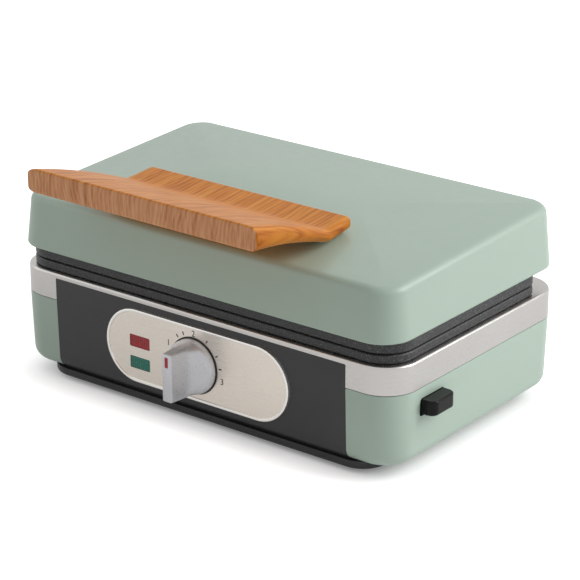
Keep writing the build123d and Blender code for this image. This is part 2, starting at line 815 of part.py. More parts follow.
def latch_lever(side, up, pivot_z, button_z):
    """Rocker with a hook over the plate's lug. Side is +1 right or -1 left, up is +1 hook above."""
    stem_in = latch_x - latch_stem / 2
    stem_out = latch_x + latch_stem / 2
    hook_near = pivot_z + up * latch_pivot_offset
    hook_far = hook_near + up * latch_hook_height
    hook_tip = lug_reach - latch_hook_bite
    stem_end = button_z - up * button_height / 4
    with BuildPart() as lever:
        with BuildSketch(Plane.XZ.offset(-latch_y)):
            with BuildLine():
                Polyline(
                    (side * stem_out, stem_end),
                    (side * stem_out, hook_far),
                    (side * (hook_tip + latch_hook_bite), hook_far),
                    (side * hook_tip, hook_near + up * latch_hook_bite),
                    (side * hook_tip, hook_near),
                    (side * stem_in, hook_near),
                    (side * stem_in, stem_end),
                    close=True,
                )
            make_face()
            with Locations((side * latch_x, pivot_z)):
                Circle(latch_boss_radius)
        extrude(amount=latch_stem_width / 2, both=True)
        with BuildSketch(Plane.XZ.offset(-latch_y)):
            with Locations((side * latch_x, pivot_z)):
                Circle(latch_pin_radius + latch_pin_clearance)
        extrude(amount=latch_stem_width, both=True, mode=Mode.SUBTRACT)
    return lever.part


def latch_button(side, up, button_z):
    """Push button outside the wall, seated on the lever's stem."""
    stem_out = latch_x + latch_stem / 2
    reach = (stem_out + button_reach) / 2
    outer = Axis((0, 0, 0), (side, 0, 0))
    with BuildPart() as button:
        with BuildSketch(Plane.XY.offset(button_z - button_height / 2)):
            with Locations((side * reach, latch_y)):
                Rectangle(button_reach - stem_out, button_width)
        extrude(amount=button_height)
        fillet(button.edges().filter_by(Axis.Z).group_by(outer)[-1], radius=button_corner)
        fillet(button.faces().sort_by(outer)[-1].edges().filter_by(Axis.Y), radius=button_edge)
    return button.part


def latch_bracket(side, up, pivot_z, seat_z):
    """Two ears under a seat plate that carry the lever's pin."""
    ear_inner = latch_stem_width / 2 + latch_ear_gap
    ear_end = pivot_z - up * latch_ear_end
    ear_in = latch_x - latch_ear_reach / 2
    ear_out = latch_x + latch_ear_reach / 2
    ear_middle = (ear_end + seat_z) / 2
    with BuildPart() as bracket:
        for ear_y in (latch_y - ear_inner - latch_ear / 2, latch_y + ear_inner + latch_ear / 2):
            with BuildSketch(Plane.XZ.offset(-ear_y)):
                with Locations((side * latch_x, ear_middle)):
                    Rectangle(ear_out - ear_in, abs(seat_z - ear_end))
                with Locations((side * latch_x, pivot_z)):
                    Circle(latch_pin_radius + latch_pin_clearance, mode=Mode.SUBTRACT)
            extrude(amount=latch_ear / 2, both=True)
        with BuildSketch(Plane.XY.offset(seat_z)):
            with Locations((side * latch_x, latch_y)):
                Rectangle(ear_out - ear_in, 2 * (ear_inner + latch_ear))
        extrude(amount=-up * latch_ear)
    return bracket.part


def latch_pin(side, pivot_z):
    """Pivot pin along the wall."""
    half_length = latch_stem_width / 2 + 2 * latch_ear_gap + latch_ear + spring_length
    with BuildPart() as pin:
        with BuildSketch(Plane.XZ.offset(-latch_y)):
            with Locations((side * latch_x, pivot_z)):
                Circle(latch_pin_radius)
        extrude(amount=half_length, both=True)
    return pin.part


def latch_spring(side, up, pivot_z):
    """Torsion spring on the pin's back end, whose long leg bears on the lever beyond the pivot."""
    coil_y = latch_y + latch_stem_width / 2 + latch_ear_gap + latch_ear + spring_gap + spring_length / 2
    coil_inner = latch_pin_radius + latch_pin_clearance
    leg_x = side * (latch_x - coil_inner - spring_wire / 2)
    leg_end = latch_y + latch_stem_width / 2 - spring_length
    with BuildPart() as spring:
        with BuildSketch(Plane.XZ.offset(-coil_y)):
            with Locations((side * latch_x, pivot_z)):
                Circle(coil_inner + spring_wire)
                Circle(coil_inner, mode=Mode.SUBTRACT)
        extrude(amount=spring_length / 2, both=True)
        with BuildLine() as route:
            FilletPolyline(
                (leg_x, coil_y, pivot_z + up * spring_leg),
                (leg_x, coil_y, pivot_z - up * spring_leg),
                (leg_x, leg_end, pivot_z - up * spring_leg),
                radius=2 * spring_wire,
            )
        with BuildSketch(Plane(origin=route.line @ 0, z_dir=route.line % 0)):
            Circle(spring_wire / 2)
        sweep(path=route.line)
    return spring.part


def plate_keeper(side, up, seat_z, hook_face):
    """Fixed hook opposite the latch, which the plate's other lug slides under."""
    web = side * (latch_x + latch_ear)
    nib_end = side * (lug_reach - latch_hook_bite)
    nib_middle = (web + nib_end) / 2
    web_end = hook_face - up * latch_pivot_offset
    with BuildPart() as keeper:
        with BuildSketch(Plane.XZ.offset(-latch_y)):
            with Locations((web, (seat_z + web_end) / 2)):
                Rectangle(latch_ear, abs(seat_z - web_end))
            with Locations((nib_middle, hook_face + up * latch_hook_height / 2)):
                Rectangle(abs(web - nib_end), latch_hook_height)
        extrude(amount=latch_stem_width / 2, both=True)
        with BuildSketch(Plane.XY.offset(seat_z)):
            with Locations((web, latch_y)):
                Rectangle(latch_ear_reach, latch_stem_width)
        extrude(amount=-up * latch_ear)
    return keeper.part


for level, side, up, pivot_z, button_z, seat_z in (
    ("lower", 1, 1, lower_pivot_z, lower_button_z, band_top - steel_sheet),
    ("upper", -1, -1, upper_pivot_z, upper_button_z, lid_bottom + lid_frame_thick),
):
    with BuildPart() as lever:
        add(latch_lever(side, up, pivot_z, button_z))
    finish(lever, f"{level}_latch_lever")
    with BuildPart() as button:
        add(latch_button(side, up, button_z))
    finish(button, f"{level}_latch_button")
    with BuildPart() as bracket:
        add(latch_bracket(side, up, pivot_z, seat_z))
    finish(bracket, f"{level}_latch_bracket")
    with BuildPart() as pin:
        add(latch_pin(side, pivot_z))
    finish(pin, f"{level}_latch_pin")
    with BuildPart() as spring:
        add(latch_spring(side, up, pivot_z))
    finish(spring, f"{level}_latch_spring")
    with BuildPart() as keeper:
        add(plate_keeper(-side, up, seat_z, pivot_z + up * latch_pivot_offset))
    finish(keeper, f"{level}_plate_keeper")


# Hinge halves: brackets on the band's flange, arms under the lid, and two headed pins
hinge_sides = (-hinge_x, hinge_x)
leaf_back = hinge_y - hinge_leaf_gap
arm_back = hinge_y - hinge_leaf
with BuildPart() as hinge_brackets:
    for hinge_side in hinge_sides:
        with BuildSketch(Plane.XY.offset(band_top)):
            with Locations((hinge_side, (hinge_leaf_front + leaf_back) / 2)):
                Rectangle(2 * hinge_end, leaf_back - hinge_leaf_front)
            with Locations((hinge_side - hinge_screw_x, hinge_screw_y), (hinge_side + hinge_screw_x, hinge_screw_y)):
                Circle(hinge_screw_radius + fit, mode=Mode.SUBTRACT)
        extrude(amount=hinge_leaf)
        with BuildSketch(Plane.YZ.offset(hinge_side)):
            with BuildLine():
                Polyline(
                    (leaf_back - hinge_leaf, band_top),
                    (arm_back, band_top),
                    (hinge_y, hinge_z),
                    (hinge_y - hinge_radius, hinge_z),
                    (hinge_y - hinge_radius, band_top + hinge_leaf),
                    (leaf_back - hinge_leaf, band_top + hinge_leaf),
                    close=True,
                )
            make_face()
            with Locations((hinge_y, hinge_z)):
                Circle(hinge_radius)
                Circle(hinge_pin_radius + hinge_pin_clearance, mode=Mode.SUBTRACT)
        extrude(amount=hinge_base_width / 2, both=True)
finish(hinge_brackets, "hinge_brackets")

with BuildPart() as lid_hinge_arms:
    for hinge_side in hinge_sides:
        with BuildSketch(Plane.XY.offset(lid_bottom)):
            with Locations((hinge_side, (hinge_leaf_front + leaf_back) / 2)):
                Rectangle(2 * hinge_end, leaf_back - hinge_leaf_front)
            with Locations((hinge_side - hinge_screw_x, hinge_screw_y), (hinge_side + hinge_screw_x, hinge_screw_y)):
                Circle(hinge_screw_radius + fit, mode=Mode.SUBTRACT)
        extrude(amount=-hinge_leaf)
        for arm_x in (hinge_side - hinge_lid_offset, hinge_side + hinge_lid_offset):
            with BuildSketch(Plane.YZ.offset(arm_x)):
                with BuildLine():
                    Polyline(
                        (leaf_back - hinge_leaf, lid_bottom),
                        (arm_back, lid_bottom),
                        (hinge_y, hinge_z),
                        (hinge_y - hinge_radius, hinge_z),
                        (hinge_y - hinge_radius, lid_bottom - hinge_leaf),
                        (leaf_back - hinge_leaf, lid_bottom - hinge_leaf),
                        close=True,
                    )
                make_face()
                with Locations((hinge_y, hinge_z)):
                    Circle(hinge_radius)
                    Circle(hinge_pin_radius + hinge_pin_clearance, mode=Mode.SUBTRACT)
            extrude(amount=hinge_lid_width / 2, both=True)
finish(lid_hinge_arms, "lid_hinge_arms")

with BuildPart() as hinge_pins:
    for side in (-1, 1):
        with BuildSketch(Plane.YZ.offset(side * (hinge_x - hinge_end - hinge_side_gap))):
            with Locations((hinge_y, hinge_z)):
                Circle(hinge_pin_radius)
        extrude(amount=side * 2 * (hinge_end + hinge_side_gap))
        with BuildSketch(Plane.YZ.offset(side * (hinge_x + hinge_end + hinge_side_gap))):
            with Locations((hinge_y, hinge_z)):
                Circle(hinge_head_radius)
        extrude(amount=side * hinge_head_height)
finish(hinge_pins, "hinge_pins")

for screws_name, head_base, outwards in (
    ("hinge_bracket_screws", band_top + hinge_leaf, 1),
    ("lid_arm_screws", lid_bottom - hinge_leaf, -1),
):
    with BuildPart() as screws:
        for hinge_side in hinge_sides:
            with BuildSketch(Plane.XY.offset(head_base)):
                with Locations((hinge_side, hinge_screw_y)):
                    with GridLocations(2 * hinge_screw_x, 1, 2, 1):
                        Circle(hinge_screw_head_radius)
            extrude(amount=outwards * hinge_screw_head_height)
            with BuildSketch(Plane.XY.offset(head_base)):
                with Locations((hinge_side, hinge_screw_y)):
                    with GridLocations(2 * hinge_screw_x, 1, 2, 1):
                        Circle(hinge_screw_radius)
            extrude(amount=-outwards * hinge_screw_length)
    finish(screws, screws_name)

# Lid shell with bosses for its frame, pillars for the upper pan and pads for the handle's screws
handle_screw_places = [(-handle_screw_x, handle_screw_y), (handle_screw_x, handle_screw_y)]
frame_top = lid_bottom + lid_frame_thick
pad_z = lid_top_back - lid_front_fall - 2 * lid_wall - handle_pad_drop
handle_screw_top = handle_bend_bottom + handle_screw_grip
with BuildPart() as lid_bosses:
    with BuildSketch(Plane.XY.offset(frame_top)):
        with Locations(*lid_screw_places):
            Circle(lid_boss_radius)
    extrude(amount=lid_height)
    with BuildSketch(Plane.XY.offset(upper_pan_z)):
        with Locations(*pillar_places):
            Circle(pillar_radius)
    extrude(amount=lid_height)
    with BuildSketch(Plane.XY.offset(pad_z)):
        with Locations(*handle_screw_places):
            Circle(handle_screw_head_radius + lid_wall)
    extrude(amount=lid_height)
    add(middle_lid, mode=Mode.INTERSECT)

with BuildPart() as lid_shell:
    add(outer_lid)
    add(inner_lid, mode=Mode.SUBTRACT)
    chamfer(lid_shell.faces().sort_by(Axis.Z)[0].outer_wire().edges(), length=lid_lower_edge)
    add(lid_bosses.part)
    with BuildSketch(Plane.XY.offset(frame_top)):
        with Locations(*lid_screw_places):
            Circle(lid_screw_radius + fit)
    extrude(amount=lid_screw_length, mode=Mode.SUBTRACT)
    with BuildSketch(Plane.XY.offset(pad_z)):
        with Locations(*handle_screw_places):
            Circle(handle_screw_radius + handle_screw_clearance)
    extrude(amount=lid_height, mode=Mode.SUBTRACT)
    with BuildSketch(Plane.YZ.offset(-half_lid - lid_wall)):
        with Locations((latch_y, upper_button_z + button_slot_drop / 2)):
            Rectangle(button_width + 2 * button_slot_gap, button_height + 2 * button_slot_gap + button_slot_drop)
    extrude(amount=4 * lid_wall, mode=Mode.SUBTRACT)
finish(lid_shell, "lid_shell")

# Lid frame: the sheet that closes the lid round the upper plate, and its countersunk screws
with BuildPart() as lid_frame:
    with BuildSketch(Plane.XY.offset(lid_bottom)):
        inset = lid_wall + fit
        add(bowed_outline(half_lid - inset, lid_front + inset, lid_back - inset, lid_corner - inset, lid_corner - inset))
        add(rounded_box(opening_half_width, opening_front, opening_back, opening_corner, opening_corner),
            mode=Mode.SUBTRACT)
        with Locations(*lid_screw_places):
            Circle(lid_screw_radius + fit, mode=Mode.SUBTRACT)
        for hinge_side in hinge_sides:
            with Locations((hinge_side - hinge_screw_x, hinge_screw_y), (hinge_side + hinge_screw_x, hinge_screw_y)):
                Circle(hinge_screw_radius + fit, mode=Mode.SUBTRACT)
    extrude(amount=lid_frame_thick)
    for screw_x_place, screw_y_place in lid_screw_places:
        with BuildSketch(Plane.XY.offset(lid_bottom)):
            with Locations((screw_x_place, screw_y_place)):
                Circle(lid_screw_head_radius)
        with BuildSketch(Plane.XY.offset(lid_bottom + lid_screw_head_height)):
            with Locations((screw_x_place, screw_y_place)):
                Circle(lid_screw_radius + fit)
        loft(mode=Mode.SUBTRACT)
finish(lid_frame, "lid_frame")

with BuildPart() as lid_frame_screws:
    for screw_x_place, screw_y_place in lid_screw_places:
        with BuildSketch(Plane.XY.offset(lid_bottom)):
            with Locations((screw_x_place, screw_y_place)):
                Circle(lid_screw_head_radius - fit)
        with BuildSketch(Plane.XY.offset(lid_bottom + lid_screw_head_height)):
            with Locations((screw_x_place, screw_y_place)):
                Circle(lid_screw_radius)
        loft()
    with BuildSketch(Plane.XY.offset(lid_bottom + lid_screw_head_height)):
        with Locations(*lid_screw_places):
            Circle(lid_screw_radius)
    extrude(amount=lid_screw_length)
finish(lid_frame_screws, "lid_frame_screws")

# Handle: the bent side profile, cut to the plan that widens to the front
with BuildPart() as handle:
    with BuildSketch(Plane.YZ) as side_view:
        with BuildLine():
            Polyline((handle_bend, handle_bend_top), (handle_back, handle_back_top), (handle_back, handle_back_bottom),
                     (handle_bend, handle_bend_bottom))
            ThreePointArc((handle_bend, handle_bend_bottom), (handle_middle, handle_middle_bottom),
                          (handle_front, handle_front_bottom))
            Line((handle_front, handle_front_bottom), (handle_front, handle_front_top))
            ThreePointArc((handle_front, handle_front_top), (handle_middle, handle_middle_top),
                          (handle_bend, handle_bend_top))
        make_face()
        bend_corners = side_view.vertices().filter_by_position(Axis.X, handle_bend - fit, handle_bend + fit)
        fillet(bend_corners, radius=handle_bend_radius)
    extrude(amount=handle_front_half_width, both=True)
    with BuildSketch():
        with BuildLine():
            Polyline(
                (handle_back_half_width, handle_back),
                (handle_front_half_width, handle_front),
                (-handle_front_half_width, handle_front),
                (-handle_back_half_width, handle_back),
                close=True,
            )
        make_face()
    extrude(amount=2 * handle_front_top, mode=Mode.INTERSECT)
    end_edges = handle.edges().filter_by(lambda edge: abs(edge.center().X) > handle_screw_x)
    fillet(end_edges.filter_by(Axis.Z, reverse=True), radius=handle_end_radius)
    front_edges = handle.faces().sort_by(Axis.Y)[0].edges()
    back_edges = handle.faces().sort_by(Axis.Y)[-1].edges()
    fillet(front_edges + back_edges, radius=handle_edge_radius)
    with BuildSketch(Plane.XY.offset(handle_bend_bottom - handle_screw_clearance)):
        with Locations(*handle_screw_places):
            Circle(handle_screw_radius)
    extrude(amount=handle_screw_grip + handle_screw_clearance, mode=Mode.SUBTRACT)
finish(handle, "handle")

# Raised seat on the lid under the handle's back
with BuildPart() as handle_seat:
    with BuildSketch(Plane.YZ):
        with BuildLine():
            Polyline(
                (handle_bend, pad_z),
                (handle_bend, handle_bend_bottom),
                (handle_back, handle_back_bottom),
                (seat_back, handle_back_bottom),
                (seat_back, pad_z),
                close=True,
            )
        make_face()
    extrude(amount=handle_back_half_width - seat_inset, both=True)
    fillet(handle_seat.edges().filter_by(Axis.Z).group_by(Axis.Y)[-1], radius=seat_corner)
    add(outer_lid, mode=Mode.SUBTRACT)
    with BuildSketch(Plane.XY.offset(pad_z)):
        with Locations(*handle_screw_places):
            Circle(handle_screw_radius + handle_screw_clearance)
    extrude(amount=lid_height, mode=Mode.SUBTRACT)
finish(handle_seat, "handle_seat")

with BuildPart() as handle_screws:
    with BuildSketch(Plane.XY.offset(pad_z)):
        with Locations(*handle_screw_places):
            Circle(handle_screw_head_radius)
    extrude(amount=-handle_screw_head_height)
    with BuildSketch(Plane.XY.offset(pad_z)):
        with Locations(*handle_screw_places):
            Circle(handle_screw_radius)
    extrude(amount=handle_screw_top - handle_screw_clearance - pad_z)
finish(handle_screws, "handle_screws")
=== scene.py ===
import math

import bmesh
import bpy
from mathutils import Matrix, Vector


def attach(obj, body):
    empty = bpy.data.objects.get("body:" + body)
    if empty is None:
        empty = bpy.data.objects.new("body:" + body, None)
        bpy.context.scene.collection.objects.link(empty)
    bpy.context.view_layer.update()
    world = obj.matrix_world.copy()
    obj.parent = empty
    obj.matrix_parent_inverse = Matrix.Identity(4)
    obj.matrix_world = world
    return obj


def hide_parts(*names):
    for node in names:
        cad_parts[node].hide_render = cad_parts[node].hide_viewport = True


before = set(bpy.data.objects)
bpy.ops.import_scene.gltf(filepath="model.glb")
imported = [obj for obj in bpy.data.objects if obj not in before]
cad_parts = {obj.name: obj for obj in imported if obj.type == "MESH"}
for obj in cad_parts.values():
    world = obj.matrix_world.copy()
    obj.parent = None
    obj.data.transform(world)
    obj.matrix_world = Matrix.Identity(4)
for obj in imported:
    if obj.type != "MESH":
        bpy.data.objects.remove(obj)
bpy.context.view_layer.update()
mm = 0.001

# Camera, at the photograph's viewing angle
camera_azimuth = math.radians(37.701)
camera_elevation = math.radians(21.370)
camera_roll = math.radians(-0.029)
camera_distance = 1.496634
camera_target = Vector((0.002645, 0.020, 0.061129))
camera_lens = 150.318
camera_near = 0.05
camera_far = 50.0

# Light
world_fill = 0.37
world_mirrored = 0.8
key_power = 28.0
key_place = Vector((1.55, 0.95, 1.25))
key_size = 1.4
front_power = 3.2
front_place = Vector((-1.9, -0.9, 0.8))
front_size = 1.4
light_aim = Vector((0, 0, 0.06))

# Floor
floor_size = 14.0
floor_colour = (0.88, 0.88, 0.88)
floor_roughness = 0.9
floor_glow = 0.80
mirrored_share = 0.42
# Painted contact shadow: within this reach of something close, the floor's glow dims down to this share.
painted_shadow_reach = 0.022
painted_shadow_least_glow = 0.15

# Housing, in millimetres as all sizes below
half_body = 145.0
body_front = -69.0
body_back = 107.4
body_corner = 21.5
shell_bottom = 8.6
shell_top = 54.6
band_bottom = 55.2
band_top = 72.5
base_draft = math.tan(math.radians(1.8))
base_edge = 8.2
shell_wall = 2.4
steel_sheet = 1.2
band_edge = 1.6
band_flat_start = 0.4
edge_round = 0.5
top_edge_inset = 0.3
cut_reach = 8.0

# Inside of the base shell: the lip behind the band, and the flange at the floor
lip_outside = 1.5
lip_inside = 3.6
lip_rise = 4.0
lip_drop = 2.0
shell_foot = 9.0
flange_inset = 26.0
flange_thick = 2.6

# Opening for the baking plates
opening_half_width = 136.0
opening_front = -59.5
opening_back = 79.5
opening_corner = 14.0

# Front panel
panel_half_width = 110.85
panel_wall = 3.0
panel_top = 69.3
panel_gap = 0.15
panel_edge = 0.5
panel_edge_steps = 3
panel_taper = 1.0
panel_sharp_angle = 50.0
shell_opening_rise = 5.0
shell_opening_corner = 1.0
band_opening_corner = 0.8

# Bottom tray
tray_half_width = 126.0
tray_front = -65.5
tray_back = 101.0
tray_corner = 17.5
tray_bottom = 3.0
tray_wall = 2.4
tray_edge = 2.5
tray_gap = 0.1
vent_pitch = 8.0
vent_rows = 6
vent_columns = (-58.0, 0.0, 58.0)
vent_half_length = 17.0
vent_half_width = 1.6
tray_screw_places = [(x, y) for x in (-112.0, 112.0) for y in (-20.0, 60.0)]
screw_recess = 3.2
screw_recess_depth = 2.2

# Lid
half_lid = 143.5
lid_front = -70.6
lid_back = 106.1
lid_front_corner = 20.0
lid_back_corner = 17.0
lid_bottom = 86.5
lid_height = 46.3
lid_front_fall = 6.4
lid_crown_radius = 1500.0
lid_long_radius = 1500.0
lid_draft = math.tan(math.radians(4.1))
lid_edge = 4.5
lid_wall = 2.2
lid_core_inset = 86.0
lid_lip = 0.8
lid_lip_inset = 0.5
lid_slot_outside = 4.0
lid_slot_inside = 6.0
outside_steps = 11
inside_steps = 5

# Sheet that closes the lid
frame_thick = 2.0
frame_gap = 0.2
frame_screw_hole = 3.1
frame_screw_places = ((-100.0, -63.0), (100.0, -63.0), (-60.0, 98.0), (60.0, 98.0))
frame_cut_margin = 1.0

# Latch buttons of the base and the lid
latch_y = -31.0
lower_button_z = 42.4
upper_button_z = 108.3
button_half_length = 11.9
button_half_height = 5.7
button_corner = 2.0

# Cord inlet; the bush's profile is its radius and how far it stands out of the wall
cord_x = 96.0
cord_z = 30.0
cord_hole = 6.2
cord_cut_depth = 12.0
bush_profile = (
    (6.0, -7.0),
    (6.0, 0.0),
    (8.3, 0.0),
    (8.5, 0.4),
    (8.5, 1.2),
    (8.2, 1.8),
    (7.6, 2.0),
    (4.2, 2.0),
    (3.75, 1.6),
    (3.75, -7.0),
)

# Control plate
control_seat_y = -68.2
control_rim_y = -70.9
control_face_y = -70.2
control_half_length = 70.0
control_radius = 23.7
control_x = 1.4
control_z = 41.5
control_rim_width = 2.0
control_chamfer = 0.6
rim_soft_edge = 0.18
rim_slope_start = 0.7
rim_slope_end = 0.3
rim_slope_drop = 0.15
lens_places = ((-42.3, 44.5), (-42.3, 30.5))
lens_half_width = 7.85
lens_half_height = 3.95
lens_corner = 0.9
lens_cut_front = -75.0
lens_cut_back = -60.0

# Knob from its back to its front: depth, half width, half height and corner of each outline
knob_z = 40.2
knob_back_y = -70.7
knob_levels = (
    (0.0, 17.1, 17.1, 17.1),
    (3.2, 17.1, 17.1, 17.1),
    (4.0, 16.6, 16.9, 16.6),
    (4.7, 15.2, 16.7, 15.2),
    (5.5, 12.6, 16.6, 12.6),
    (6.6, 9.8, 16.5, 9.6),
    (8.2, 7.4, 16.3, 6.4),
    (10.5, 5.7, 16.1, 4.0),
    (14.0, 4.6, 15.9, 2.4),
    (19.0, 3.9, 15.6, 1.6),
    (23.4, 3.6, 15.3, 1.4),
    (24.0, 3.4, 15.1, 1.2),
    (24.4, 2.9, 14.6, 0.8),
)
pointer_half_width = 1.2
pointer_low = 47.0
pointer_high = 53.6
pointer_corner = 0.3

# Black disc of painted shade behind the knob, and dial; each number has its text, its hour of the clock, and
# its distance from the knob's axis
shade_disc_radius = 18.1
shade_disc_thick = 0.35
mark_thick = 0.06
tick_hours = (10.75, 11.25, 1.0, 2.0, 2.75)
tick_distance = 20.4
tick_half_length = 1.1
tick_half_width = 0.4
dial_numbers = (("1", 9.9, 21.8), ("2", 12.0, 20.2), ("3", 3.45, 22.2))
number_size = 5.6

# Handle; tops and bottoms are heights at its back, bend, middle and front
handle_back = -15.5
handle_bend = -38.5
handle_middle = -73.0
handle_front = -115.0
handle_tops = (135.4, 133.1, 146.5, 158.5)
handle_bottoms = (127.2, 125.5, 135.8, 143.4)
handle_back_half_width = 77.0
handle_front_half_width = 86.2
handle_shift = -1.6
handle_end_edge = 6.4
handle_back_share = 0.6
handle_front_edge = 2.0
handle_edge_steps = 6
handle_rows = 44
handle_columns = 24
handle_sharp_angle = math.radians(45)
handle_upright = 6.0
bend_softness = 0.7

# Seat under the handle's back edge
seat_back = -12.2
seat_end_gap = 5.5
seat_front_gap = 0.5
seat_sink = 0.4
seat_least_sink = 0.3
seat_back_rise = 0.1
seat_steps = 24

# Steps of the round stretches, and the angles in degrees over which an edge stays sharp
corner_steps = 14
arc_steps = 8
small_arc_steps = 6
usual_sharp = 32.0
blend_sharp = 50.0
seat_sharp = 20.0

# Wood grain: turns of phase per metre across, how far it wanders, and the shares of its layers
grain_turns = 1900.0
grain_drift = 44.0
ring_share = 0.55
band_share = 0.6
pore_share = 0.5

# Sockets of the colour mix node
mix_share = 0
mix_below = 6
mix_above = 7
mix_result = 2

# Nodes of the CAD model that keep their own meshes
steel_nodes = [
    "thermostat_body", "thermostat_shaft", "bottom_screws", "lower_reflector", "upper_reflector",
    "lower_element_clips", "upper_element_clips", "lower_latch_lever", "upper_latch_lever",
    "lower_latch_bracket", "upper_latch_bracket", "lower_latch_pin", "upper_latch_pin",
    "lower_latch_spring", "upper_latch_spring", "lower_plate_keeper", "upper_plate_keeper",
    "hinge_pins", "hinge_bracket_screws", "lid_arm_screws", "lid_frame_screws", "handle_screws",
    "lower_element", "upper_element",
]
button_nodes = ["lower_latch_button", "upper_latch_button"]
plate_nodes = ["lower_plate", "upper_plate"]
hinge_nodes = ["hinge_brackets", "lid_hinge_arms"]
pale_nodes = ["lamp_holders", "terminal_block"]


def add_node(material, kind, sockets=None, **settings):
    """Adds a shader node with its settings, and fills its sockets with values or links."""
    made = material.node_tree.nodes.new(kind)
    for key, value in settings.items():
        setattr(made, key, value)
    for socket, value in (sockets or {}).items():
        if isinstance(value, bpy.types.NodeSocket):
            material.node_tree.links.new(value, made.inputs[socket])
        else:
            made.inputs[socket].default_value = value
    return made


def from_screen(red, green, blue):
    """The linear colour of a screen colour given in 0 to 255."""
    values = []
    for part in (red, green, blue):
        share = part / 255
        values.append(share / 12.92 if share <= 0.04045 else ((share + 0.055) / 1.055) ** 2.4)
    return (*values, 1.0)


def scaled(colour, factor, lift=0.0):
    """The colour times a factor, plus a lift, up to white."""
    return (*(min(1.0, part * factor + lift) for part in colour[:3]), 1.0)


def new_material(name, roughness, metallic=0.0, **sockets):
    """A material whose Principled shader has the given plain values."""
    material = bpy.data.materials.new(name)
    material.use_nodes = True
    shader = material.node_tree.nodes["Principled BSDF"]
    shader.inputs["Roughness"].default_value = roughness
    shader.inputs["Metallic"].default_value = metallic
    for socket, value in sockets.items():
        shader.inputs[socket.replace("_", " ")].default_value = value
    return material, shader


def link(material, output, shader, socket):
    material.node_tree.links.new(output, shader.inputs[socket])


def place(material, scale=(1, 1, 1)):
    """The surface's own coordinates in metres, stretched by the scale."""
    coordinates = add_node(material, "ShaderNodeTexCoord")
    return add_node(
        material, "ShaderNodeMapping",
        {"Vector": coordinates.outputs["Object"], "Scale": scale},
    ).outputs["Vector"]


def noise(material, vector, scale, detail=2.0, roughness=0.5):
    return add_node(
        material, "ShaderNodeTexNoise",
        {"Vector": vector, "Scale": scale, "Detail": detail, "Roughness": roughness},
    ).outputs["Fac"]


def ramp(material, value, stops):
    """A colour ramp with its stops given as place and colour."""
    made = add_node(material, "ShaderNodeValToRGB", {"Fac": value})
    band = made.color_ramp
    while len(band.elements) < len(stops):
        band.elements.new(0.5)
    for element, (where, colour) in zip(band.elements, stops):
        element.position = where
        element.color = colour
    return made.outputs["Color"]


def span(material, value, low, high, start=0.0, end=1.0):
    """Maps the value from start..end to low..high."""
    return add_node(
        material, "ShaderNodeMapRange",
        {"Value": value, "From Min": start, "From Max": end, "To Min": low, "To Max": high},
    ).outputs["Result"]


def bump(material, height, strength, distance):
    return add_node(
        material, "ShaderNodeBump", {"Height": height, "Strength": strength, "Distance": distance},
    ).outputs["Normal"]


def combine(material, operation, first, second=0.0):
    """The result of one sum on two values."""
    return add_node(material, "ShaderNodeMath", {0: first, 1: second}, operation=operation).outputs["Value"]


def layered(material, below, above, share, blend):
    """One colour laid over another."""
    return add_node(
        material, "ShaderNodeMix", {mix_share: share, mix_below: below, mix_above: above},
        data_type="RGBA", blend_type=blend,
    ).outputs[mix_result]


def lacquer(name, pale, deep):
    """Satin lacquer with a fine orange peel and a faint drift of tone."""
    material, shader = new_material(name, roughness=0.36, Coat_Weight=0.18, Coat_Roughness=0.22)
    still = place(material)
    drift = noise(material, still, scale=9.0, detail=3.0)
    link(material, ramp(material, drift, [(0.3, deep), (0.7, pale)]), shader, "Base Color")
    peel = noise(material, still, scale=900.0)
    link(material, bump(material, peel, strength=0.10, distance=0.00006), shader, "Normal")
    wear = noise(material, still, scale=160.0, detail=4.0)
    link(material, span(material, wear, low=0.33, high=0.42, start=0.35, end=0.65), shader, "Roughness")
    return material


def brushed_metal(name, pale, deep, stretch=(1, 1, 1)):
    """Brushed sheet whose lines run where the stretch is short; an even stretch leaves it without lines."""
    material, shader = new_material(name, roughness=0.25, metallic=1.0)
    strokes = noise(material, place(material, stretch), scale=3000.0, detail=3.0, roughness=0.7)
    cloud = noise(material, place(material), scale=14.0)
    tone = span(material, combine(material, "ADD", strokes, cloud), low=0.0, high=1.0, start=0.5, end=1.5)
    link(material, ramp(material, tone, [(0.0, deep), (1.0, pale)]), shader, "Base Color")
    link(material, span(material, strokes, low=0.25, high=0.33, start=0.3, end=0.7), shader, "Roughness")
    link(material, bump(material, strokes, strength=0.06, distance=0.00003), shader, "Normal")
    return material


def moulded_plastic(name, colour, roughness, grain=1400.0, depth=0.00003, metallic=0.0, **sockets):
    """Moulded plastic with a fine spark-eroded grain."""
    material, shader = new_material(name, roughness, metallic, **sockets)
    still = place(material)
    drift = noise(material, still, scale=22.0, detail=3.0)
    pale = scaled(colour, 1.12, lift=0.002)
    link(material, ramp(material, drift, [(0.35, colour), (0.65, pale)]), shader, "Base Color")
    pores = noise(material, still, scale=grain, detail=3.0, roughness=0.6)
    link(material, bump(material, pores, strength=0.25, distance=depth), shader, "Normal")
    uneven = span(material, pores, low=roughness - 0.05, high=roughness + 0.08, start=0.3, end=0.7)
    link(material, uneven, shader, "Roughness")
    return material


def coated_metal(name):
    """Non-stick coating: near black, with pale speckles and a fine grain."""
    material, shader = new_material(name, roughness=0.42)
    still = place(material)
    speckle = noise(material, still, scale=1500.0, detail=1.0)
    spots = ramp(material, speckle, [
        (0.0, from_screen(36, 37, 38)),
        (0.60, from_screen(42, 43, 44)),
        (0.70, from_screen(120, 121, 122)),
        (1.0, from_screen(150, 151, 152)),
    ])
    link(material, spots, shader, "Base Color")
    grain = noise(material, still, scale=700.0, detail=4.0)
    link(material, bump(material, grain, strength=0.3, distance=0.00006), shader, "Normal")
    link(material, span(material, grain, low=0.34, high=0.5, start=0.3, end=0.7), shader, "Roughness")
    return material


